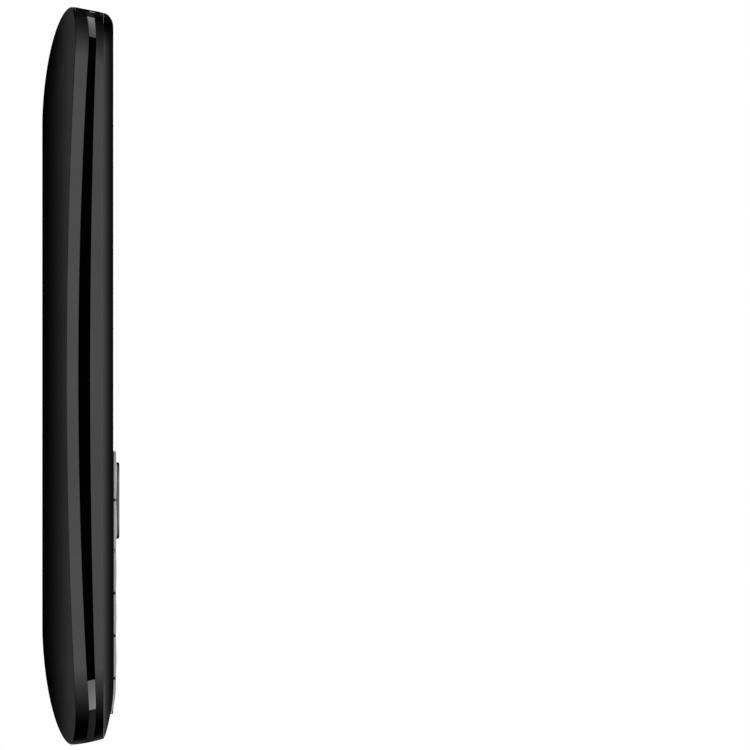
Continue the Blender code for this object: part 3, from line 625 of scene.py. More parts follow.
# Painted highlight along the phone: the paint's tone is brightest at the accents' tip ends, as in the
# photograph.
ACCENT_HIGHLIGHT_TONES = ((bottom_accent[1], "#7D7D7E"), (bottom_accent[0], "#5E5E5F"),
                (2 * half_length - top_accent[1], "#4B4B4C"), (2 * half_length - top_accent[0], "#5A5A5B"))
from_foot = node(tree, "ShaderNodeMapRange", {"From Min": -half_length, "From Max": half_length},
                 Value=node(tree, "ShaderNodeSeparateXYZ", Vector=place).outputs["Y"])
accent_highlight_ramp = node(tree, "ShaderNodeValToRGB", Fac=from_foot.outputs["Result"])
while len(accent_highlight_ramp.color_ramp.elements) < len(ACCENT_HIGHLIGHT_TONES):
    accent_highlight_ramp.color_ramp.elements.new(0.5)
for stop, (distance, colour) in zip(accent_highlight_ramp.color_ramp.elements, ACCENT_HIGHLIGHT_TONES):
    stop.position, stop.color = distance / (2 * half_length), linear(colour)
glitter = node(tree, "ShaderNodeMapRange", {"To Min": 0.9, "To Max": 1.1}, Value=flakes)
painted = node(tree, "ShaderNodeVectorMath", {"operation": "SCALE"}, accent_highlight_ramp.outputs["Color"],
               Scale=glitter.outputs["Result"])
drive(shader, colour=painted.outputs[0])
top_start, top_end = (place_at(half_length - distance) for distance in top_accent)
bottom_start, bottom_end = (place_at(distance - half_length) for distance in bottom_accent)
strip_start = place_at(half_length - top_accent[1] - trim_gap)
strip_end = place_at(bottom_accent[0] - half_length + trim_gap)
for side in ("right", "left"):
    inlay_strip(f"accent_top_{side}", side, top_start, top_end, silver_paint, "silver_accent")
    inlay_strip(f"accent_bottom_{side}", side, bottom_start, bottom_end, silver_paint, "silver_accent")
    inlay_strip(f"side_inlay_{side}", side, strip_start, strip_end, black_polycarbonate, "black_inlay")
tip_start = place_at(bottom_accent[1] - half_length - trim_gap)
inlay_strip("end_inlay_bottom", "right", tip_start, mirrored(tip_start), sheened_end_polycarbonate, "black_inlay")

# Front housing.
# The front shell is a polished black ABS frame round the display and keys. Its rim rolls over from the side
# band to the flat face, and the face falls away in a curve at the chin.
bezel_round_width = 2.7 * MM
bezel_round_length = 2.3 * MM
chin_round_length = 0.9 * MM
chin_length = 11.2 * MM
chin_drop = 1.5 * MM
CHIN_POWER = 2.5
BEZEL_ROUND_POWER = 1.8
BEZEL_STEPS = 14
housing_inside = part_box("display_gasket")[1].z + seat_gap


def face_height(y):
    """Height of the front face, which falls away in a curve at the chin."""
    past = -half_length + band_lean_length + chin_length - y
    return front_face - chin_drop * (max(0.0, past) / chin_length) ** CHIN_POWER


def bezel_ring(share):
    turn = 1 - (1 - share ** BEZEL_ROUND_POWER) ** (1 / BEZEL_ROUND_POWER)
    points = outline(band_lean_width + bezel_round_width * turn, band_lean_length + bezel_round_length * turn,
                     band_lean_length + chin_round_length * turn)
    low = bezel_line + bezel_gap / 2
    return [(x, y, low + share * (face_height(y) - low)) for x, y in points]


bezel_shares = [math.sin(math.pi / 2 * (1 - step / BEZEL_STEPS)) for step in range(BEZEL_STEPS)]
FOOT_LIP_SHARE = 0.15
bezel_low = bezel_line + bezel_gap / 2
bezel_foot = []
for rise, inset in lip:
    foot_rise, foot_inset = FOOT_LIP_SHARE * rise, FOOT_LIP_SHARE * inset
    bezel_foot.append([(*place, bezel_low + foot_rise)
                       for place in outline(band_lean_width + foot_inset, band_lean_length + foot_inset)])
tongue_side, tongue_end, tongue_wall = inner_side + tongue_gap, inner_end + tongue_gap, 0.34 * MM
front_housing = loft("front_housing_shell", [bezel_ring(share) for share in bezel_shares] + bezel_foot + [
    flat_ring(tongue_side, tongue_end, lambda y: bezel_low),
    flat_ring(tongue_side, tongue_end, lambda y: bezel_line - tongue_depth / 2),
    flat_ring(tongue_side + tongue_wall, tongue_end + tongue_wall, lambda y: bezel_line - tongue_depth / 2),
    flat_ring(tongue_side + tongue_wall, tongue_end + tongue_wall, lambda y: housing_inside),
])
# Painted shade: the rim is grey at its foot, fades to black towards the face, and is darker at the top
# corners.
front_black_abs = abs_plastic("front_black_abs", "#000000", "#464647", (0.12, 0.18), (front_face, bezel_line),
                              fall=2.6, polish=0.08,
                              corners_from=((2.8 * MM, 6.6 * MM), (-2.0 * MM, -1.0 * MM)))
dress(front_housing, front_black_abs, "phone", "gloss_black_plastic", "front_housing")
# The face is polished further than the rim round it, so that it mirrors the room. A fine line along the rim's
# foot, where the two shells meet, is coloured lighter grey as a painted highlight.
polished_face_abs = abs_plastic("polished_face_abs", "#060606", "#0A0A0B", (0.05, 0.1), specular=0.3)
edge_highlight_abs = abs_plastic("painted_highlight_edge_abs", "#4B4B4C", "#505051", (0.2, 0.3))
front_housing.data.materials.append(polished_face_abs)
front_housing.data.materials.append(edge_highlight_abs)
edge_highlight_top = bezel_line + 1.01 * bezel_shares[-1] * (front_face - bezel_line)
face_slack = 0.01 * MM
vertices = front_housing.data.vertices
for face in front_housing.data.polygons:
    corners_at = [vertices[index].co for index in face.vertices]
    if all(place.z > face_height(place.y) - face_slack for place in corners_at):
        face.material_index = 1
    if all(bezel_line < place.z < edge_highlight_top for place in corners_at):
        face.material_index = 2

# Openings of the front housing.
# The frame has a recess and a window for the display glass, openings for the keys and the pad, an earpiece
# slot, a pinhole for the microphone in the chin, and bosses behind for the four screws.
key_gap = 0.3 * MM
key_corner = 0.4 * MM
keypad_top_corner = 3.2 * MM
keypad_bottom_corner = 5.6 * MM
lens_corner = 2.5 * MM
lens_border = 1.6 * MM
lens_ledge = 0.45 * MM
boss_radius = 1.25 * MM
boss_bore = 0.85 * MM
microphone_hole = 0.45 * MM
FULL_ROUND_SHARE = 0.999


def corners(width, length, radii, steps=8):
    """Outline of a rectangle whose corners, from the right top one anticlockwise, have their own radii."""
    points = []
    for quarter, ((sx, sy), radius) in enumerate(zip(((1, 1), (-1, 1), (-1, -1), (1, -1)), radii)):
        radius = FULL_ROUND_SHARE * min(radius, width / 2, length)
        for step in range(steps + 1):
            turn = math.radians(90 * (quarter + step / steps))
            points.append((sx * (width / 2 - radius) + radius * math.cos(turn),
                           sy * (length / 2 - radius) + radius * math.sin(turn)))
    return points


def rounded(width, length, radius, steps=8):
    return corners(width, length, [min(radius, length / 2)] * 4, steps)


def circle(radius, sides=40):
    turns = [math.tau * i / sides for i in range(sides)]
    return [(radius * math.cos(turn), radius * math.sin(turn)) for turn in turns]


def shrink(points, inset):
    """The outline drawn in by an inset along its own sides."""
    span, reach = max(abs(x) for x, _ in points), max(abs(y) for _, y in points)
    return [(x * (1 - inset / span), y * (1 - inset / reach)) for x, y in points]


def stack(name, layers, centre=(0.0, 0.0), sharp=40, looped=False):
    """A closed body through outlines at heights, each a pair of outline and height, or height rule, in one
    order."""
    rings = []
    for points, height in layers:
        places = [(centre[0] + x, centre[1] + y) for x, y in points]
        rings.append([(*place, height(*place) if callable(height) else height) for place in places])
    return skinned(name, rings, sharp, looped)


def prism(points, low, high, centre=(0.0, 0.0)):
    return stack("cutter", [(points, low), (points, high)], centre)


def middle(name):
    low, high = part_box(name)
    return (low.x + high.x) / 2, (low.y + high.y) / 2


def span(name):
    low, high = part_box(name)
    return high.x - low.x, high.y - low.y


EDGE_TURNS = (0, 18, 36, 54, 72, 90)


def rim(points, top, edge):
    """Layers that round an outline's top edge: the height falls by the radius and the outline draws in."""
    layers = []
    for turn in EDGE_TURNS:
        inset = edge * (1 - math.cos(math.radians(turn)))
        drop = edge * (1 - math.sin(math.radians(turn)))
        high = (lambda x, y, drop=drop: top(x, y) - drop) if callable(top) else top - drop
        layers.append((shrink(points, inset) if inset else points, high))
    return layers


above, below = front_face + overrun, housing_inside - overrun
lens_middle, (lens_width, lens_length) = middle("display_lens"), span("display_lens")
glass_back, glass_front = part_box("display_lens")[0].z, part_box("display_lens")[1].z
recess_gap = 0.07 * MM
nav_corner = 3.6 * MM
nav_middle, (nav_width, nav_length) = middle("nav_ring"), span("nav_ring")
slot_middle, (slot_width, slot_length) = middle("earpiece_mesh"), span("earpiece_mesh")


def open_through(points, centre, foot=below):
    """Cuts an opening with an outline through the front shell, from a foot up."""
    cut(front_housing, prism(points, foot, above, centre))


def open_round_keys(low_name, high_name, radii):
    """Opens the front shell round a block of keys, given its lowest left and its highest right key."""
    low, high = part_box(low_name)[0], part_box(high_name)[1]
    size = (high.x - low.x + 2 * key_gap, high.y - low.y + 2 * key_gap)
    open_through(corners(*size, radii), ((low.x + high.x) / 2, (low.y + high.y) / 2))


open_through(rounded(lens_width + 2 * recess_gap, lens_length + 2 * recess_gap, lens_corner), lens_middle,
             glass_back - seat_gap)
open_through(rounded(lens_width - 2 * lens_border, lens_length - 2 * lens_border, lens_corner), lens_middle)
top_corner = keypad_top_corner + key_gap
open_round_keys("call_key", "soft_key_left", [key_corner, top_corner, key_corner, key_corner])
open_round_keys("end_key", "soft_key_right", [top_corner, key_corner, key_corner, key_corner])
open_round_keys("key_star", "key_3", [key_corner] * 2 + [keypad_bottom_corner + key_gap] * 2)
open_through(rounded(nav_width + 2 * key_gap, nav_length + 2 * key_gap, nav_corner + key_gap), nav_middle)
open_through(rounded(slot_width + 2 * recess_gap, slot_length + 2 * recess_gap, slot_length), slot_middle)
open_through(circle(microphone_hole, 24), middle("microphone"))
screws = [f"screw_{row}_{side}" for row in ("top", "middle") for side in ("left", "right")]
for name in screws:
    boss = prism(circle(boss_radius), floor_front + seat_gap, housing_inside + lens_ledge / 2, middle(name))
    cut(front_housing, boss, "UNION")
    cut(front_housing, prism(circle(boss_bore), floor_front - overrun, housing_inside, middle(name)))

# Keys.
# Each cap is moulded ABS sprayed silver-grey, with a soft crown and a small radius round its top. Its sign is
# laser marked in black. The caps are bonded to a black rubber mat, whose webs fill the gaps between the rows.
key_edge = 0.12 * MM
key_crown = 0.07 * MM
key_growth = 0.07 * MM
key_proud = 0.46 * MM
key_skirt = 0.07 * MM
sign_size = 3.7 * MM
sign_thickness = 0.012 * MM
bar_size = (3.0 * MM, 0.45 * MM)
bar_corner = 0.2 * MM
CROWN_SHARES = (0.12, 0.3, 0.5, 0.72)
LAST_ROW_SINK = 0.6
last_row_top, last_row_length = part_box("key_0")[1].y, span("key_0")[1]


def key_surface(name):
    """Height rule of a key's crowned top, which follows the face below it."""
    (cx, cy), (width, length) = middle(name), span(name)

    def height(x, y):
        reach = min(1.0, max(abs(x - cx) / (width / 2), abs(y - cy) / (length / 2)))
        foot = min(1.0, max(0.0, (last_row_top - y) / last_row_length))
        proud = key_proud * (1 - LAST_ROW_SINK * foot * foot) + key_crown * (1 - reach * reach)
        return face_height(y) + proud
    return height


def scaled(points, share):
    return [(x * share, y * share) for x, y in points]


def key_cap(name, radii):
    (width, length), surface = span(name), key_surface(name)
    points = corners(width + 2 * key_growth, length + 2 * key_growth, radii)
    layers = [(points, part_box(name)[0].z), (points, lambda x, y: face_height(y) + key_skirt)]
    layers += rim(points, surface, key_edge)
    top = layers[-1][0]
    layers += [(scaled(top, 1 - share), surface) for share in CROWN_SHARES]
    cap = stack(f"{name}_cap", layers, middle(name), 50)
    dress(cap, silver_key_lacquer, name, "key_plastic", name)
    # The lacquer is sprayed from above and leaves the skirt black; the black skirt is also painted shade, the
    # dark line in the gap at the key's foot.
    cap.data.materials.append(black_polycarbonate)
    for face in cap.data.polygons:
        if all(cap.data.vertices[index].co.z < face_height(cap.data.vertices[index].co.y) + 1.1 * key_skirt
               for index in face.vertices):
            face.material_index = 1


silver_key_lacquer, shader, place = new_material("silver_key_lacquer", {
    "Metallic": 0.35, "Specular IOR Level": 0.2})
drive(shader, noise(place, 5 * MM, 3.0), (0.3, 0.42))
drive(shader, noise(place, 0.1 * MM, 1.0), colours=(linear("#969697"), linear("#ACACAE")),
      bump=(0.08, ripple_depth))


def ink(name, colour):
    """Printing or laser marking: a thin layer whose edge is sharp and whose tone varies a little with the
    surface."""
    material, shader, place = new_material(name, {"Specular IOR Level": 0.3})
    thin = [0.8 * part for part in linear(colour)[:3]] + [1.0]
    drive(shader, noise(place, 0.2 * MM), (0.4, 0.6), (linear(colour), thin))
    return material


def flat_sign(name, faces, surface, lift=sign_thickness):
    """A thin sign of flat convex faces, each a list of points on the phone, laid on a height rule."""
    bm = bmesh.new()
    for points in faces:
        join(bm, [[(x, y, surface(x, y) + height) for x, y in points] for height in (-lift, lift)])
    return piece(name, bm, 30)


def printed(name, text, size, place, surface):
    """A digit or symbol from Blender's own font, laid on a height rule."""
    curve = bpy.data.curves.new(name, "FONT")
    curve.body, curve.size = text, size
    curve.align_x, curve.align_y = "CENTER", "CENTER"
    curve.extrude = sign_thickness
    source = bpy.data.objects.new(name, curve)
    bpy.context.scene.collection.objects.link(source)
    graph = bpy.context.evaluated_depsgraph_get()
    made = bpy.data.meshes.new_from_object(source.evaluated_get(graph), depsgraph=graph)
    bpy.data.objects.remove(source, do_unlink=True)
    bm = bmesh.new()
    bm.from_mesh(made)
    bmesh.ops.remove_doubles(bm, verts=bm.verts, dist=sign_thickness / 10)
    for vertex in bm.verts:
        x, y = vertex.co.x + place[0], vertex.co.y + place[1]
        vertex.co = (x, y, surface(x, y) + vertex.co.z)
    return piece(name, bm, 30)


black_laser_mark = ink("black_laser_mark", "#101010")
green_ink, red_ink = ink("green_key_ink", "#1E8F3E"), ink("red_key_ink", "#C22A20")
NUMBER_KEYS = [(f"key_{number}", str(number)) for number in range(1, 10)]
NUMBER_KEYS += [("key_star", "*"), ("key_0", "0"), ("key_hash", "#")]
for name, text in NUMBER_KEYS:
    radii = [key_corner] * 4
    if name in ("key_star", "key_hash"):
        radii[2 if name == "key_star" else 3] = keypad_bottom_corner
    key_cap(name, radii)
    cx, cy = middle(name)
    star_drop = 0.35 * sign_size if text == "*" else 0.0
    star_size = 1.5 * sign_size if text == "*" else sign_size
    sign = printed(f"{name}_sign", text, star_size, (cx, cy - star_drop), key_surface(name))
    dress(sign, black_laser_mark, name, "key_plastic")


def spun(x, y, turn, centre):
    """A point turned about the origin, then moved with it to a centre."""
    return (centre[0] + x * math.cos(turn) - y * math.sin(turn),
            centre[1] + x * math.sin(turn) + y * math.cos(turn))


GRIP_SPREAD, CUP_SPREAD, GRIP_STEPS = 54, 26, 10
grip_radius, grip_width, cup_depth = 2.0 * MM, 0.5 * MM, 0.85 * MM


def bow(angle, radius):
    """A point on the bowed grip of the handset sign, at an angle in degrees from its middle."""
    return radius * math.sin(math.radians(angle)), radius * math.cos(math.radians(angle)) - 0.8 * grip_radius


def handset(centre, turn):
    """Faces of a telephone handset sign: a bowed grip with a cup at each end, turned about its middle."""
    faces = []
    for step in range(GRIP_STEPS):
        near, far = (GRIP_SPREAD * (2 * (step + k) / GRIP_STEPS - 1) for k in (0, 1))
        faces.append([bow(near, grip_radius - grip_width), bow(far, grip_radius - grip_width),
                      bow(far, grip_radius), bow(near, grip_radius)])
    for way in (-1, 1):
        outer = bow(way * GRIP_SPREAD, grip_radius)
        inner = bow(way * (GRIP_SPREAD - CUP_SPREAD), grip_radius - grip_width)
        cup_end = outer[1] - cup_depth
        faces.append([outer, (outer[0], cup_end), (inner[0], cup_end), inner][::way])
    return [[spun(*point, turn, centre) for point in face] for face in faces]


for name, colour, turn in (("call_key", green_ink, 0.6), ("end_key", red_ink, 0.0)):
    key_cap(name, [key_corner] * 4)
    sign = flat_sign(f"{name}_sign", handset(middle(name), turn), key_surface(name))
    dress(sign, colour, name, "key_plastic")
for side in ("left", "right"):
    name = f"soft_key_{side}"
    radii = [key_corner] * 4
    radii[1 if side == "left" else 0] = keypad_top_corner
    key_cap(name, radii)
    cx, cy = middle(name)
    bar = [(cx + x, cy + y) for x, y in rounded(*bar_size, bar_corner, 3)]
    dress(flat_sign(f"{name}_sign", [bar], key_surface(name)), black_laser_mark, name, "key_plastic")

# Keypad webs.
# Thin ridges of the black rubber mat stand in the gaps between the key rows and columns, a hair below the
# caps' tops, so that no light shows through. They are part of the mat, which stays still.
web_drop = 0.04 * MM
web_width = 0.13 * MM
WEB_STEPS = 6
mat_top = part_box("keypad_mat")[1].z
black_rubber = abs_plastic("black_silicone_rubber", "#070707", "#0B0B0B", (0.6, 0.75), grain=0.2 * MM,
                           specular=0.1)


def web(name, middle_at, start, end, along_x):
    """A ridge of one width about a line, from its start to its end, along or across the keypad."""
    near, far = middle_at - web_width / 2, middle_at + web_width / 2
    sections = []
    for step in range(WEB_STEPS + 1):
        at = start + (end - start) * step / WEB_STEPS
        (x0, y0), (x1, y1) = ((at, near), (at, far)) if along_x else ((near, at), (far, at))
        sections.append([(x0, y0, mat_top - web_drop), (x1, y1, mat_top - web_drop),
                         (x1, y1, face_height(y1) + key_proud - web_drop),
                         (x0, y0, face_height(y0) + key_proud - web_drop)])
    dress(skinned(name, sections), black_rubber, "phone", "black_rubber")


def between_keys(under, over):
    return (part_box(under)[1].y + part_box(over)[0].y) / 2


left_edge, right_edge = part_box("key_star")[0].x - key_growth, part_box("key_hash")[1].x + key_growth
for number, (under, over) in enumerate((("key_star", "key_7"), ("key_7", "key_4"), ("key_4", "key_1"))):
    web(f"keypad_web_row_{number + 1}", between_keys(under, over), left_edge, right_edge, True)
for number, (near, far) in enumerate((("key_star", "key_0"), ("key_0", "key_hash"))):
    x = (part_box(near)[1].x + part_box(far)[0].x) / 2
    web(f"keypad_web_column_{number + 1}", x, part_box("key_star")[0].y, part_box("key_1")[1].y, False)
for side, low_name in (("left", "call_key"), ("right", "end_key")):
    for part, under, over in (("low", "key_1", low_name), ("high", low_name, f"soft_key_{side}")):
        start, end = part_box(over)[0].x - key_growth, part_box(over)[1].x + key_growth
        web(f"keypad_web_{side}_{part}", between_keys(under, over), start, end, True)

# Navigation pad.
# The pad is a dark chromed ring that rocks on its plate, its top dished towards the chromed OK key in its
# middle. Vacuum chrome over dark lacquer gives a mirror that reads as smoky grey.
ok_corner = 2.2 * MM
nav_edge = 0.32 * MM
nav_dish = 0.16 * MM
nav_lip = 0.2 * MM
pad_growth = 0.05 * MM
arrow = 0.62 * MM
arrow_thickness = 0.03 * MM
DISH_START = 0.14
DISH_SHARES = (0.2, 0.35, 0.5, 0.65, 0.8, 0.93)
OK_DISH_SHARES = (0.15, 0.35, 0.6, 0.8)
PAD_STEPS = 10
nav_low, nav_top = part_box("nav_ring")[0].z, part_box("nav_ring")[1].z
ok_low, ok_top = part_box("ok_key")[0].z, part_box("ok_key")[1].z
ok_middle, (ok_width, ok_length) = middle("ok_key"), span("ok_key")
hole_gap = running_gap - pad_growth
outer = rounded(nav_width + 2 * pad_growth, nav_length + 2 * pad_growth, nav_corner, PAD_STEPS)
inner = rounded(ok_width + 2 * hole_gap, ok_length + 2 * hole_gap, ok_corner + running_gap, PAD_STEPS)


def between(share):
    """The outline a share of the way from the pad's outer edge to its hole."""
    return [(x0 + (x1 - x0) * share, y0 + (y1 - y0) * share) for (x0, y0), (x1, y1) in zip(outer, inner)]


layers = [(outer, nav_low)] + rim(outer, nav_top, nav_edge)
layers += [(between(share), nav_top - nav_dish * math.sin(math.pi * (share - DISH_START) / (1 - DISH_START)))
           for share in DISH_SHARES]
for turn in TRIM_LIP_TURNS:
    inset, drop = (nav_lip * (1 - wave(math.radians(turn))) for wave in (math.sin, math.cos))
    layers.append((shrink(inner, -inset), nav_top - drop))
layers.append((inner, nav_low))
nav_ring = stack("nav_ring_chrome", layers, nav_middle, 35, looped=True)
dark_chrome, shader, place = new_material("smoked_vacuum_chrome", {
    "Metallic": 1.0, "Specular Tint": linear("#202022")})
drive(shader, noise(place, 2.5 * MM, 3.0), (0.07, 0.16), (linear("#505051"), linear("#5C5C5D")))
dress(nav_ring, dark_chrome, "nav_ring", "nav_chrome", "nav_ring")
ok_outline = rounded(ok_width + 2 * pad_growth, ok_length + 2 * pad_growth, ok_corner, PAD_STEPS)
layers = [(ok_outline, ok_low)] + rim(ok_outline, ok_top, key_edge)
ok_face = layers[-1][0]
layers += [(scaled(ok_face, 1 - share), ok_top - nav_dish * (1 - (1 - share) ** 2))
           for share in OK_DISH_SHARES]
dress(stack("ok_key_cap", layers, ok_middle, 50), dark_chrome, "ok_key", "nav_chrome", "ok_key")
pale_ink = ink("pale_grey_print", "#C9C9CB")


def nav_surface(x, y):
    return nav_top - 0.9 * nav_dish


arrow_reach = ((ok_width + nav_width) / 4, (ok_length + nav_length) / 4)
tip = [(0, 0.6 * arrow), (-arrow, -0.6 * arrow), (arrow, -0.6 * arrow)]
for name, ways, turn in (("up", (0, 1), 0), ("down", (0, -1), math.pi), ("left", (-1, 0), math.pi / 2),
                         ("right", (1, 0), -math.pi / 2)):
    centre = [middle_at + way * reach for middle_at, way, reach in zip(nav_middle, ways, arrow_reach)]
    face = [spun(*corner, turn, centre) for corner in tip]
    sign = flat_sign(f"nav_arrow_{name}", [face], nav_surface, arrow_thickness)
    dress(sign, pale_ink, "nav_ring", "nav_chrome")

# Display.
# A hard-coated acrylic lens lies in its recess over the liquid-crystal panel. Black ink printed behind its
# edge hides the frame, and the panel, switched off, shows as a deep grey-blue field with a thin darker
# border.
lens_edge = 0.15 * MM
back_edge = 0.06 * MM
ink_width = 2.6 * MM
ink_thickness = 0.04 * MM
active_border = 0.7 * MM
smear_size = 14 * MM
lens_outline = rounded(lens_width, lens_length, lens_corner)
glass_layers = [(shrink(lens_outline, back_edge), glass_back), (lens_outline, glass_back + back_edge)]
glass_layers += rim(lens_outline, glass_front, lens_edge)
lens = stack("display_lens_acrylic", glass_layers, lens_middle, 50)
clear_acrylic, shader, place = new_material("hard_coated_acrylic", {
    "Base Color": linear("#F4F5F7"), "IOR": 1.49, "Transmission Weight": 1.0})
drive(shader, noise(place, smear_size, 5.0), (0.002, 0.006))
# The display's own lens is smoked, so that the panel below only just shows while it is switched off.
smoked_acrylic, shader, place = new_material("smoked_hard_coated_acrylic", {
    "Base Color": linear("#060708"), "Alpha": 0.4})
drive(shader, noise(place, smear_size, 5.0), (0.02, 0.07))
dress(lens, smoked_acrylic, "phone", "clear_lens", "display_lens")


def frame_ring(name, outside, inside, low, high, centre):
    """A flat closed ring between two outlines of the same number of points."""
    layers = [(outside, low), (outside, high), (inside, high), (inside, low)]
    return stack(name, layers, centre, 35, looped=True)


window_size = (lens_width - 2 * ink_width, lens_length - 2 * ink_width)
window_outline = rounded(*window_size, lens_corner / 4)
seal_low, seal_high = 0.02 * MM, 0.05 * MM
print_outline = rounded(lens_width - 2 * lens_edge, lens_length - 2 * lens_edge, lens_corner)
border = frame_ring("display_lens_border", print_outline, window_outline, glass_back - 1.5 * ink_thickness,
                    glass_back - 0.5 * ink_thickness, lens_middle)
dress(border, ink("black_screen_print", "#060606"), "phone", "clear_lens")
module_low, module_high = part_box("display_module")
panel_outline = rounded(*span("display_module"), lens_corner / 2)
panel = stack("display_panel", [(panel_outline, module_low.z)] + rim(panel_outline, module_high.z, 0.1 * MM),
              middle("display_module"))
# Pixels are 0.2 mm apart on the real panel, drawn here at 0.4 mm so that their grid can show at all.
pixel_pitch = 0.4 * MM
lcd_glass, shader, place = new_material("lcd_cell_switched_off", {
    "Roughness": 0.3, "Specular IOR Level": 0.1})
grid = node(place.id_data, "ShaderNodeTexBrick", {
    "Scale": 1 / pixel_pitch, "Mortar Size": 0.06, "Brick Width": 1.0, "Row Height": 1.0, "offset": 0.0,
    "Color1": linear("#262C33"), "Color2": linear("#242A31"), "Mortar": linear("#22272E")}, Vector=place)
drive(shader, colour=grid.outputs["Color"])
dress(panel, lcd_glass, "phone", "display_stack", "display_module")
edge_inside = rounded(window_size[0] - 2 * active_border, window_size[1] - 2 * active_border, lens_corner / 6)
edge = frame_ring("display_panel_edge", window_outline, edge_inside, module_high.z + seal_low,
                  module_high.z + seal_high, lens_middle)
dress(edge, ink("black_panel_seal", "#050506"), "phone", "display_stack")

# Earpiece and microphone.
# A pressed steel grille, pierced with two rows of small round holes, covers the earpiece slot. A black felt
# lies behind it. The microphone is a small can behind a pinhole in the chin.
mesh_low, mesh_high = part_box("earpiece_mesh")
hole_radius = 0.2 * MM
hole_pitch = 0.62 * MM
grille_edge = 0.08 * MM
felt_inset, felt_gap, felt_thickness = 0.1 * MM, 0.03 * MM, 0.09 * MM
HOLE_SIDES = 10
grille_outline = rounded(slot_width, slot_length, slot_length)
layers = [(grille_outline, mesh_low.z)] + rim(grille_outline, mesh_high.z, grille_edge)
grille = stack("earpiece_grille", layers, slot_middle)
columns = int((slot_width - slot_length / 2) / hole_pitch)
bm = bmesh.new()
for row in (-1, 1):
    for column in range(columns):
        x = slot_middle[0] + (column - (columns - 1) / 2) * hole_pitch
        y = slot_middle[1] + row * hole_pitch / 2
        join(bm, [[(x + hx, y + hy, z) for hx, hy in circle(hole_radius, HOLE_SIDES)]
                  for z in (mesh_low.z - seat_gap, mesh_high.z + seat_gap)])
cut(grille, piece("grille_holes", bm))


def sheet_steel(name, dull, bright, rough, brush=0.08 * MM):
    """Pressed and plated steel: brushed along the phone's width, with small clouds in its plating."""
    material, shader, place = new_material(name, {"Metallic": 1.0})
    stretch = node(place.id_data, "ShaderNodeMapping", {"Scale": (0.05, 1.0, 1.0)}, Vector=place)
    drive(shader, noise(stretch.outputs["Vector"], brush), rough, bump=(0.1, 0.01 * MM))
    drive(shader, noise(place, 3 * MM, 3.0), colours=(linear(dull), linear(bright)))
    return material


dark_steel = sheet_steel("blackened_grille_steel", "#57575A", "#69696C", (0.25, 0.4))
bright_steel = sheet_steel("nickel_plated_steel", "#A9A9A8", "#BDBDBB", (0.22, 0.36))
black_felt = abs_plastic("black_acoustic_felt", "#080808", "#0A0A0A", (0.85, 0.95), grain=0.08 * MM,
                         specular=0.05)
dress(grille, dark_steel, "phone", "steel", "earpiece_mesh")
felt_outline = shrink(grille_outline, felt_inset)
felt = stack("earpiece_felt", [(felt_outline, mesh_low.z - felt_gap - felt_thickness),
                               (felt_outline, mesh_low.z - felt_gap)], slot_middle)
dress(felt, black_felt, "phone", "steel")
dust_outline = circle(0.9 * microphone_hole, 24)
dust_felt = stack("microphone_felt", [(dust_outline, housing_inside + 0.1 * MM),
                                      (dust_outline, housing_inside + 0.3 * MM)], middle("microphone"))
dress(dust_felt, black_felt, "phone", "steel")

# Port panel and upper trim.
# At the top end the trim strip gives way to a matt black panel that carries the torch, the USB mouth and the
# audio jack. Its short neighbours run from the panel to the silver accents.
panel_low, panel_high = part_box("port_panel")
port_z = (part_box("usb_port")[0].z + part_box("usb_port")[1].z) / 2
panel_half = panel_high.x
panel_middle = (panel_low.z + panel_high.z) / 2
panel_gap = 0.004 * MM


def panel_floor(y):
    return panel_middle - panel_height / 2


def panel_ceiling(y):
    return panel_middle + panel_height / 2


def place_at_x(x):
    """Place on the top end of a whole ring where it reaches a distance from the phone's middle."""
    for i, ((near, _), (far, _)) in enumerate(zip(PLAN, PLAN[1:])):
        if near <= x <= far:
            return i + (x - near) / (far - near)
    return 0.0


def across_top(name, reach, depth, gap, proud=0.0):
    """A piece across the middle of the top end, out to the same distance on each side."""
    end = place_at_x(reach)
    steps = range(math.floor(end) + 1)
    places = [mirrored(end), *(mirrored(i) for i in reversed(steps)), *steps, end]
    return strip_piece(name, places, panel_floor, panel_ceiling, depth, gap, proud)


cut(rear_housing, across_top("recess", panel_half + panel_gap, panel_depth, 0.0, overrun))
port_panel = across_top("port_panel_moulding", panel_half, panel_depth, panel_gap)
top_strip_start = place_at_x(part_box("end_inlay_top_right")[0].x)
top_strip_end = place_at(half_length - top_accent[0] + trim_gap)
for side in ("right", "left"):
    inlay_strip(f"end_inlay_top_{side}", side, top_strip_start, top_strip_end, sheened_end_polycarbonate,
                "black_inlay")


def across(name, points, start, length, x, height=port_z, hole=None):
    """A body drawn along the phone from a start, its outline given across the end and centred at x and a
    height. A hole's outline makes a tube of it."""
    layers = [(points, 0.0), (points, length)] + ([(hole, length), (hole, 0.0)] if hole else [])
    body = stack(name, layers, looped=bool(hole))
    laid = Matrix.Rotation(math.pi / 2, 4, "X")
    body.data.transform(Matrix.Translation((x, start + length, height)) @ laid)
    return body


usb_low, usb_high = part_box("usb_port")
jack_low, jack_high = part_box("audio_jack")
torch_low, torch_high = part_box("torch_lens")
usb_x, jack_x, torch_x = middle("usb_port")[0], middle("audio_jack")[0], middle("torch_lens")[0]
usb_width, usb_height = usb_high.x - usb_low.x, usb_high.z - usb_low.z
torch_radius = (torch_high.x - torch_low.x) / 2
jack_hole = 1.75 * MM
wall_back, wall_front = half_length - inner_end - overrun, half_length + overrun
mouths = ((rounded(usb_width + seat_gap, usb_height + seat_gap, usb_height / 3), usb_x),
          (circle(jack_hole), jack_x), (circle(torch_radius + seat_gap / 2), torch_x))
for target in (rear_housing, port_panel):
    for points, x in mouths:
        cut(target, across("cutter", points, wall_back, wall_front - wall_back, x))
matt_black_abs = abs_plastic("matt_black_abs", "#0C0C0D", "#0F0F10", (0.5, 0.62), grain=0.15 * MM,
                             polish=0.15, even=True,
                             corners_from=((1.0 * MM, 3.0 * MM), (1.0 * MM, 3.0 * MM)))
dress(port_panel, matt_black_abs, "phone", "inner_black_plastic", "port_panel")

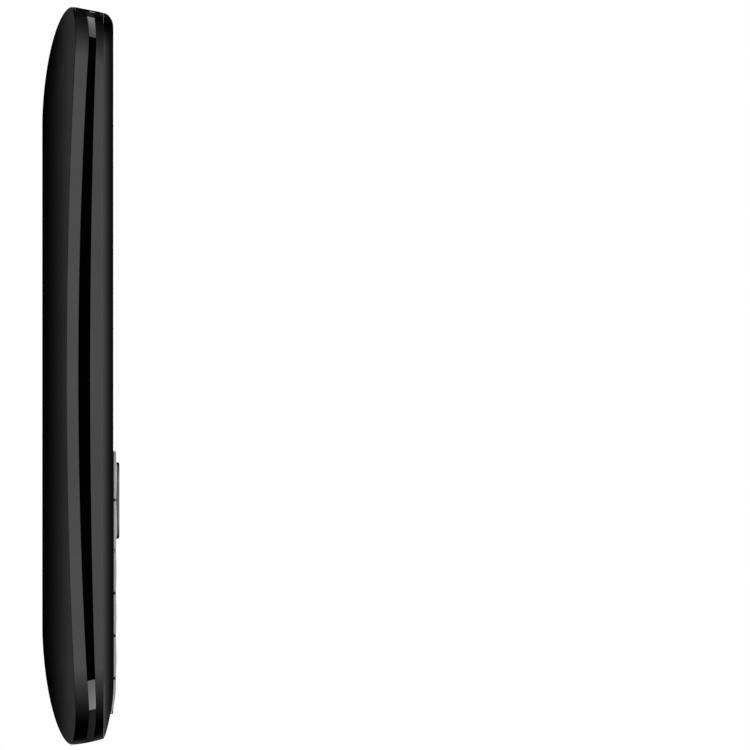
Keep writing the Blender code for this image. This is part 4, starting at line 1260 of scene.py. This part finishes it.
# USB port, audio jack and torch.
# The USB port is a folded nickel-plated shell round a black tongue with gold contacts. The jack is a black
# barrel with a spring contact inside its hole, and the torch is a clear acrylic dome over a white LED.
mouth_width, mouth_height, port_depth = 6.9 * MM, 1.8 * MM, 4.5 * MM
tongue_size = (0.62 * mouth_width, 0.5 * MM)
usb_finger_size, usb_finger_pitch, usb_finger_drop = (0.35 * MM, 0.06 * MM), 0.75 * MM, 0.28 * MM
usb_shell = across("usb_port_shell", rounded(usb_width, usb_height, usb_height / 3), usb_low.y,
                   usb_high.y - usb_low.y, usb_x)
cut(usb_shell, across("cutter", rounded(mouth_width, mouth_height, mouth_height / 3), usb_high.y - port_depth,
                      port_depth + overrun, usb_x))
dress(usb_shell, bright_steel, "phone", "steel", "usb_port")
tongue = across("usb_port_tongue", rounded(*tongue_size, 0.1 * MM), usb_high.y - port_depth,
                0.85 * port_depth, usb_x)
dress(tongue, matt_black_abs, "phone", "steel")
gold = sheet_steel("gold_plated_contacts", "#B98A2E", "#D2A445", (0.18, 0.3))
usb_finger = rounded(*usb_finger_size, 0.02 * MM, 2)
for number in range(5):
    x = usb_x + (number - 2) * usb_finger_pitch
    finger = across(f"usb_contact_{number + 1}", usb_finger, usb_high.y - port_depth, 0.8 * port_depth, x,
                    port_z - usb_finger_drop)
    dress(finger, gold, "phone", "steel")
jack_size = (jack_high.x - jack_low.x, jack_high.z - jack_low.z)
jack = across("audio_jack_body", rounded(*jack_size, jack_size[1] / 5), jack_low.y,
              jack_high.y - jack_low.y, jack_x)
cut(jack, across("cutter", circle(jack_hole), jack_high.y - port_depth, port_depth + overrun, jack_x))
dress(jack, matt_black_abs, "phone", "inner_black_plastic", "audio_jack")
contact = across("audio_jack_contact", circle(jack_hole - 0.03 * MM), jack_high.y - port_depth + 0.1 * MM,
                 port_depth - 0.7 * MM, jack_x, hole=circle(jack_hole - 0.2 * MM))
dress(contact, bright_steel, "phone", "inner_black_plastic")
dome_rise = 0.35 * MM
torch_inset = 0.3 * MM
TORCH_STEPS = 6
torch_length = torch_high.y - torch_low.y - torch_inset
layers = [(circle(torch_radius), 0.0), (circle(torch_radius), torch_length - dome_rise)]
for step in range(1, TORCH_STEPS):
    turn = math.pi / 2 * step / TORCH_STEPS
    layers.append((circle(torch_radius * math.cos(turn)), torch_length - dome_rise * (1 - math.sin(turn))))
torch = stack("torch_lens_dome", layers)
facing_out = Matrix.Rotation(-math.pi / 2, 4, "X")
torch.data.transform(Matrix.Translation((torch_x, torch_low.y, port_z)) @ facing_out)
dress(torch, clear_acrylic, "phone", "clear_lens", "torch_lens")
led_low, led_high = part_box("torch_led")
led_outline = rounded(led_high.x - led_low.x, led_high.z - led_low.z, 0.3 * MM)
led = across("torch_led_package", led_outline, led_low.y, led_high.y - led_low.y, torch_x)
white_led, shader, place = new_material("white_led_resin", {"Roughness": 0.35})
phosphor = node(place.id_data, "ShaderNodeTexVoronoi", {"Scale": 1 / (1.2 * MM)}, Vector=place)
drive(shader, phosphor.outputs["Distance"], colours=(linear("#E8DE8A"), linear("#F1F0EA")))
dress(led, white_led, "phone", "clear_lens", "torch_led")

# Battery bay.
# The battery's bay is a wall moulded on the back of the rear housing's floor. The floor also has pockets
# round the ports' bodies and a hole for each screw, and all of it shows once the cover is off.
battery_low, battery_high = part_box("battery")
connector_low, connector_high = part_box("battery_connector")
battery_corner = 1.5 * MM
bay_width = battery_high.x - battery_low.x + 2 * running_gap
bay_length = connector_high.y - battery_low.y + 2 * running_gap
bay_middle = (0.0, (connector_high.y + battery_low.y) / 2)
bay_corner = battery_corner + running_gap
bay_outline = rounded(bay_width + 2 * bay_wall, bay_length + 2 * bay_wall, bay_corner + bay_wall)
bay = prism(bay_outline, battery_low.z, (floor_back + floor_front) / 2, bay_middle)
cut(bay, prism(rounded(bay_width, bay_length, bay_corner), battery_low.z - overrun, floor_front + overrun,
               bay_middle))
cut(rear_housing, bay, "UNION")


def inside_reach(x):
    """How far along the phone the inner end wall stands, at a distance from its middle."""
    inside = outline(inner_side, inner_end)
    for (x_near, y_near), (x_far, y_far) in zip(inside, inside[1:]):
        if x_near <= x <= x_far:
            return y_near + (y_far - y_near) * (x - x_near) / (x_far - x_near)
    return inside[0][1]


for name in ("usb_port", "audio_jack", "torch_led"):
    low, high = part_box(name)
    back, front = low.y - running_gap, inside_reach(max(abs(low.x), abs(high.x)))
    pocket = rounded(high.x - low.x + 2 * running_gap, front - back, seat_gap)
    cut(rear_housing, prism(pocket, floor_back - overrun, floor_front + overrun,
                            (middle(name)[0], (back + front) / 2)))
for name in screws:
    cut(rear_housing, prism(circle(boss_bore, 24), floor_back - overrun, floor_front + overrun, middle(name)))

# Camera window and speaker slots of the cover.
# The cover has a round hole in which the camera's window is bonded, with a black ring printed behind it, and
# three slots for the loudspeaker, backed by an acoustic cloth that keeps dust out.
window_low, window_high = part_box("camera_window")
window_radius = (window_high.x - window_low.x) / 2
window_middle, speaker_middle = middle("camera_window"), middle("loudspeaker")
clear_radius = 1.9 * MM
slot_size = (9.0 * MM, 1.2 * MM)
slot_pitch = 2.4 * MM
cloth_border = 1.0 * MM
cloth_thickness = 0.15 * MM
WINDOW_SIDES = 64
cut(rear_cover, prism(circle(window_radius + 0.06 * MM, WINDOW_SIDES), -overrun, battery_low.z + overrun,
                      window_middle))
for step in (-1, 0, 1):
    cut(rear_cover, prism(rounded(*slot_size, slot_size[1]), -overrun, battery_low.z + overrun,
                          (speaker_middle[0], speaker_middle[1] + step * slot_pitch)))


def edged(points, low, high, edge):
    """Layers of a body whose bottom and top edges are both rounded."""
    upper = rim(points, high, edge)
    return [(shrunk, low + high - height) for shrunk, height in reversed(upper)] + upper


window = stack("camera_window_glass", edged(circle(window_radius, WINDOW_SIDES), window_low.z, window_high.z,
                                            0.12 * MM), window_middle, 50)
dress(window, clear_acrylic, "cover", "clear_lens", "camera_window")
ring = frame_ring("camera_window_print", circle(window_radius - 0.1 * MM, WINDOW_SIDES),
                  circle(clear_radius, WINDOW_SIDES), window_high.z + 0.01 * MM, window_high.z + 0.05 * MM,
                  window_middle)
dress(ring, ink("black_window_print", "#050505"), "cover", "clear_lens")
cloth_low = cover_wall + 0.02 * MM
cloth_outline = rounded(slot_size[0] + 2 * cloth_border, slot_size[1] + 3 * slot_pitch, cloth_border)
cloth = stack("speaker_cloth", [(cloth_outline, cloth_low), (cloth_outline, cloth_low + cloth_thickness)],
              speaker_middle)
# The real cloth has a thread every 0.1 mm, drawn here every 0.25 mm so that its weave can show.
thread_pitch = 0.25 * MM
woven_cloth, shader, place = new_material("woven_acoustic_cloth", {"Roughness": 0.9})
weave = node(place.id_data, "ShaderNodeTexChecker", {"Scale": 1 / thread_pitch, "Color1": linear("#1C1C1E"),
                                                     "Color2": linear("#0A0A0B")}, Vector=place)
drive(shader, weave.outputs["Fac"], bump=(0.4, 0.03 * MM), colour=weave.outputs["Color"])
dress(cloth, woven_cloth, "cover", "gloss_black_plastic")

# Battery.
# The pack is a flat aluminium can in a grey film sleeve with a black plastic cap at each end. Three gold-
# plated contacts lie in its top end, opposite the spring fingers of the connector.
cap_length = 2.4 * MM
sleeve_inset = 0.06 * MM
battery_edge = 0.45 * MM
contact_pitch = 2.6 * MM
contact_size = (1.5 * MM, 1.1 * MM)
battery_middle, (battery_width, battery_length) = middle("battery"), span("battery")
sleeve_size = (battery_width - 2 * sleeve_inset, battery_length - 2 * cap_length)
sleeve = stack("battery_sleeve", edged(rounded(*sleeve_size, sleeve_inset), battery_low.z + sleeve_inset,
                                       battery_high.z - sleeve_inset, battery_edge), battery_middle)
grey_film, shader, place = new_material("grey_polyester_film", {"IOR": 1.55})
drive(shader, noise(place, 6 * MM, 4.0, Distortion=0.6), (0.3, 0.45), (linear("#5A5D61"), linear("#64676B")),
      (0.15, 0.05 * MM))
dress(sleeve, grey_film, "battery", "battery_sleeve", "battery")
for end, way in (("top", 1), ("bottom", -1)):
    radii = ([battery_corner] * 2 + [sleeve_inset] * 2)[::way]
    y = battery_middle[1] + way * (battery_length - cap_length) / 2
    layers = edged(corners(battery_width, cap_length, radii), battery_low.z, battery_high.z, battery_edge)
    dress(stack(f"battery_cap_{end}", layers, (0.0, y)), matt_black_abs, "battery", "battery_sleeve")
contact_z = (connector_low.z + battery_high.z) / 2
for number in range(3):
    pad = across(f"battery_contact_{number + 1}", rounded(*contact_size, 0.2 * MM), battery_high.y - 0.1 * MM,
                 0.13 * MM, (number - 1) * contact_pitch, contact_z)
    dress(pad, gold, "battery", "battery_sleeve")

# Battery connector.
# A black moulded block on the board carries three gold-plated spring fingers that press on the battery's
# contacts.
finger_size = (0.9 * MM, 1.6 * MM)
finger_reach = 0.18 * MM
pocket_depth = 0.8 * MM
connector_height = connector_high.z - connector_low.z
connector_length = connector_high.y - connector_low.y
block = across("battery_connector_block", rounded(span("battery_connector")[0], connector_height, 0.3 * MM),
               connector_low.y, connector_length, 0.0, (connector_low.z + connector_high.z) / 2)
for number in range(3):
    x = (number - 1) * contact_pitch
    pocket = rounded(finger_size[0] + 2 * seat_gap, finger_size[1] + 2 * seat_gap, seat_gap)
    cut(block, across("cutter", pocket, connector_low.y - overrun, overrun + pocket_depth, x, contact_z))
    bent = across(f"battery_spring_{number + 1}", rounded(*finger_size, 0.4 * MM),
                  connector_low.y - finger_reach, finger_reach + pocket_depth - 0.05 * MM, x, contact_z)
    dress(bent, gold, "phone", "inner_black_plastic")
dress(block, matt_black_abs, "phone", "inner_black_plastic", "battery_connector")

# Card holders.
# Each holder is a pressed steel cage soldered to the board: open towards the battery, with a window in its
# back that shows the black bed and its gold contacts.
sheet_thickness = 0.2 * MM
cage_lip = 0.4 * MM
cage_corner, cage_edge, room_corner, cage_window_corner = 0.5 * MM, 0.15 * MM, 0.3 * MM, 0.8 * MM
card_contact_thickness, card_contact_corner, card_contact_edge = 0.25 * MM, 0.2 * MM, 0.08 * MM
card_contact_length = 1.6 * MM
CONTACT_ROW_SHARE = 0.18
for name, columns, window_share in (("sim_holder", 3, (0.5, 0.62)), ("memory_card_holder", 4, (0.66, 0.45))):
    low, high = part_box(name)
    (cx, cy), (width, length) = middle(name), span(name)
    window_size = (width * window_share[0], length * window_share[1])
    layers = edged(rounded(width, length, cage_corner), low.z, high.z, cage_edge)
    cage = stack(f"{name}_cage", layers, (cx, cy))
    room_size = (width - 2 * (sheet_thickness + cage_lip), length - sheet_thickness)
    cut(cage, prism(rounded(*room_size, room_corner), low.z + sheet_thickness, high.z - sheet_thickness,
                    (cx, cy - sheet_thickness)))
    cut(cage, prism(rounded(*window_size, cage_window_corner), low.z - overrun, low.z + 1.5 * sheet_thickness,
                    (cx, cy)))
    dress(cage, bright_steel, "phone", "steel", name)
    bed_size = (width - 4 * sheet_thickness - 2 * cage_lip, length - 4 * sheet_thickness)
    bed_outline = rounded(*bed_size, room_corner)
    bed = stack(f"{name}_bed", [(bed_outline, high.z - 2.2 * sheet_thickness),
                                (bed_outline, high.z - 1.1 * sheet_thickness)], (cx, cy))
    dress(bed, matt_black_abs, "phone", "steel")
    pitch = window_size[0] / columns
    top = high.z - 2.3 * sheet_thickness
    for number in range(2 * columns):
        x = cx + (number % columns - (columns - 1) / 2) * pitch
        y = cy + (CONTACT_ROW_SHARE if number < columns else -CONTACT_ROW_SHARE) * window_size[1]
        layers = edged(rounded(0.45 * pitch, card_contact_length, card_contact_corner),
                       top - card_contact_thickness, top, card_contact_edge)
        dress(stack(f"{name}_contact_{number + 1}", layers, (x, y)), gold, "phone", "steel")

# Camera.
# The module is a square black holder with a round lens barrel that looks out through the cover's window.
module_low, module_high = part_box("camera_module")
module_span = module_high.x - module_low.x
module_middle = middle("camera_module")
barrel_length = 1.5 * MM
barrel_foot = module_low.z + barrel_length + 0.3 * MM
barrel_chamfer = 0.15 * MM
barrel_radius, pupil_radius = 2.7 * MM, 1.25 * MM
barrel_wall = 0.5 * MM
baffle_pitch = 0.12 * MM
BAFFLE_STEPS = 6
TURNED_SIDES = 48
holder_outline = rounded(module_span, module_span, 0.5 * MM)
holder = stack("camera_module_holder", edged(holder_outline, module_low.z + barrel_length, module_high.z,
                                             0.15 * MM), module_middle)
profile = [(barrel_radius, barrel_foot), (barrel_radius, module_low.z + barrel_chamfer),
           (barrel_radius - barrel_chamfer, module_low.z)]
profile += [(pupil_radius + (barrel_radius - pupil_radius - barrel_wall) * (1 - step / BAFFLE_STEPS),
             module_low.z + baffle_pitch * step) for step in range(BAFFLE_STEPS + 1)]
profile += [(pupil_radius, barrel_foot)]


def turned(name, profile, centre):
    """A closed ring turned about an upright axis: the profile is a loop of radius and height pairs."""
    return stack(name, [(circle(radius, TURNED_SIDES), z) for radius, z in profile], centre, 30, looped=True)


dress(turned("camera_barrel", profile, module_middle), matt_black_abs, "phone", "inner_black_plastic")
dress(holder, matt_black_abs, "phone", "inner_black_plastic", "camera_module")
element_radius = pupil_radius - 0.03 * MM
element_foot = module_low.z + 0.75 * MM
element_bulge = 0.3 * MM
layers = [(circle(element_radius), element_foot + 0.5 * MM)]
layers += [(circle(element_radius * math.cos(math.radians(turn))),
            element_foot - element_bulge * math.sin(math.radians(turn))) for turn in (0, 20, 40, 60, 80)]
coated_glass, shader, place = new_material("coated_lens_glass", {"IOR": 1.7, "Roughness": 0.05})
coating = node(place.id_data, "ShaderNodeTexWave", {"wave_type": "RINGS", "rings_direction": "SPHERICAL",
                                                    "Scale": 1 / (2 * MM)}, Vector=place)
drive(shader, coating.outputs["Fac"], colours=(linear("#0B0A16"), linear("#171036")))
dress(stack("camera_lens_element", layers, module_middle, 60), coated_glass, "phone", "inner_black_plastic")

# Loudspeaker.
# A steel basket holds a pale film cone with a domed middle, which faces the slots of the cover.
speaker_low, speaker_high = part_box("loudspeaker")
speaker_radius = (speaker_high.x - speaker_low.x) / 2
basket_wall = 0.7 * MM
basket_chamfer = 0.15 * MM
inside_radius = speaker_radius - basket_wall
basket = [(speaker_radius, speaker_low.z + basket_chamfer), (speaker_radius, speaker_high.z - 0.8 * MM),
          (speaker_radius * 0.8, speaker_high.z), (basket_wall, speaker_high.z),
          (basket_wall, speaker_high.z - basket_wall),
          (inside_radius, speaker_high.z - basket_wall - 0.3 * MM),
          (inside_radius, speaker_low.z), (speaker_radius - basket_chamfer, speaker_low.z)]
dress(turned("loudspeaker_basket", basket, speaker_middle), bright_steel, "phone", "steel", "loudspeaker")
cone_radius = inside_radius - 0.05 * MM
cone_depth = 0.7 * MM
CONE_STEPS = 18
DOME_RIPPLE, CONE_RIPPLE = 0.8, 0.5
layers = [(circle(cone_radius, TURNED_SIDES), speaker_low.z + cone_depth + 0.3 * MM)]
for step in range(CONE_STEPS):
    share = 1 - step / CONE_STEPS
    ripple = abs(math.sin(math.pi * 2 * share)) * cone_depth * (DOME_RIPPLE if share < 0.5 else CONE_RIPPLE)
    layers.append((circle(cone_radius * share, TURNED_SIDES), speaker_low.z + cone_depth - ripple))
cone = stack("loudspeaker_cone", layers, speaker_middle, 60)
cone_film = abs_plastic("pearl_polyimide_film", "#8D8A80", "#98958A", (0.3, 0.4), grain=0.3 * MM,
                        specular=0.4)
dress(cone, cone_film, "phone", "steel")

# Vibration motor.
# A plated steel can hums when its shaft spins a half-round weight of sintered tungsten. A strap would hold
# the can.
motor_low, motor_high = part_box("vibration_motor")
weight_low, weight_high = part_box("vibration_weight")
motor_radius = (motor_high.z - motor_low.z) / 2
motor_axis = (motor_low.z + motor_high.z) / 2
motor_y = middle("vibration_motor")[1]
shaft_radius = 0.35 * MM


def along_x(thing, x):
    """Lays a body that stands on the origin along the phone's width, its foot at x."""
    thing.data.transform(Matrix.Translation((x, motor_y, motor_axis)) @ Matrix.Rotation(math.pi / 2, 4, "Y"))
    return thing


can_groove_at = 0.72
motor_length = motor_high.x - motor_low.x
can = edged(circle(motor_radius), 0.0, motor_length, 0.25 * MM)
groove = [(circle(motor_radius - cut_in), motor_length * can_groove_at + along) for cut_in, along in
          ((0.0, 0.0), (0.12 * MM, 0.05 * MM), (0.12 * MM, 0.35 * MM), (0.0, 0.4 * MM))]
can = can[:len(EDGE_TURNS)] + groove + can[len(EDGE_TURNS):]
motor = along_x(stack("vibration_motor_can", can), motor_low.x)
dress(motor, bright_steel, "phone", "steel", "vibration_motor")
shaft_length = weight_high.x - motor_high.x + 0.3 * MM
shaft = stack("vibration_shaft", edged(circle(shaft_radius, 20), 0.0, shaft_length, 0.08 * MM))
dress(along_x(shaft, motor_high.x + 0.05 * MM), bright_steel, "vibration_weight", "steel")
WEIGHT_STEPS = 30
weight_radius = motor_axis - weight_low.z
reach = math.pi / 2 + math.asin((weight_high.z - motor_axis) / weight_radius)
turns = [reach * (2 * step / WEIGHT_STEPS - 1) for step in range(WEIGHT_STEPS + 1)]
half_round = [(weight_radius * math.cos(turn), weight_radius * math.sin(turn)) for turn in turns]
weight = stack("vibration_weight_half", edged(half_round, 0.0, weight_high.x - weight_low.x, 0.12 * MM))
tungsten = sheet_steel("sintered_tungsten", "#6E6C68", "#7C7A75", (0.35, 0.5))
dress(along_x(weight, weight_low.x), tungsten, "vibration_weight", "steel", "vibration_weight")

# Screws.
# Four pan-head screws of zinc-plated steel, with cross recesses and cut threads, join the shells from the
# back.
head_height = 0.7 * MM
head_edge = 0.35 * MM
head_radius, shank_radius, thread_depth, screw_pitch = 1.3 * MM, 0.7 * MM, 0.12 * MM, 0.4 * MM
recess_arm, recess_width, recess_depth = 0.85 * MM, 0.32 * MM, 0.45 * MM
for name in screws:
    low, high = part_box(name)
    seat = low.z + head_height
    head = rim(circle(head_radius), head_height, head_edge)
    layers = [(shrunk, seat - height) for shrunk, height in reversed(head)]
    layers += [(circle(head_radius), seat), (circle(shank_radius), seat)]
    for turn in range(int((high.z - low.z - head_height) / screw_pitch)):
        foot = seat + turn * screw_pitch
        layers += [(circle(shank_radius - thread_depth), foot + screw_pitch / 2),
                   (circle(shank_radius), foot + screw_pitch)]
    layers += [(circle(shank_radius - 2 * thread_depth), high.z)]
    screw = stack(f"{name}_steel", layers, middle(name), 30)
    for size in ((2 * recess_arm, recess_width), (recess_width, 2 * recess_arm)):
        arm = rounded(*size, recess_width / 4)
        cut(screw, prism(arm, low.z - overrun, low.z + recess_depth, middle(name)))
    dress(screw, bright_steel, "phone", "steel", name)

# Board and sealed inner parts.
# These stay as the frame gives them: the fibreglass board in green solder mask, tinned shield cans, the
# polyester sheet of metal domes, the rubber mat, foam gasket, rocker plate, earpiece and microphone cans.
track_pitch = 4 * MM
solder_mask, shader, place = new_material("green_solder_mask", {"IOR": 1.5, "Roughness": 0.3})
tracks = node(place.id_data, "ShaderNodeTexBrick", {
    "Scale": 1 / track_pitch, "Mortar Size": 0.03, "Color1": linear("#0F4A2A"), "Color2": linear("#115230"),
    "Mortar": linear("#1C7A48")}, Vector=place)
drive(shader, tracks.outputs["Fac"], bump=(0.3, 0.03 * MM), colour=tracks.outputs["Color"])
tin = sheet_steel("tin_plated_steel", "#B0B0AC", "#C2C2BE", (0.3, 0.45))
gold_can = sheet_steel("gold_plated_can", "#B5924A", "#CBA860", (0.25, 0.35))
dome_film = abs_plastic("white_polyester_film", "#B9BCC0", "#C6C9CC", (0.3, 0.45), specular=0.4)
foam = abs_plastic("black_microcell_foam", "#0A0A0B", "#101011", (0.85, 0.95), grain=0.1 * MM, specular=0.1)
tinned = ("shield_can_left", "shield_can_right", "earpiece_speaker")
for material, names in ((solder_mask, ("main_board",)), (tin, tinned), (gold_can, ("microphone",)),
                        (dome_film, ("dome_sheet",)), (black_rubber, ("keypad_mat",)),
                        (foam, ("display_gasket",)), (bright_steel, ("nav_plate",))):
    for name in names:
        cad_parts[name].data.materials.clear()
        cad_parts[name].data.materials.append(material)
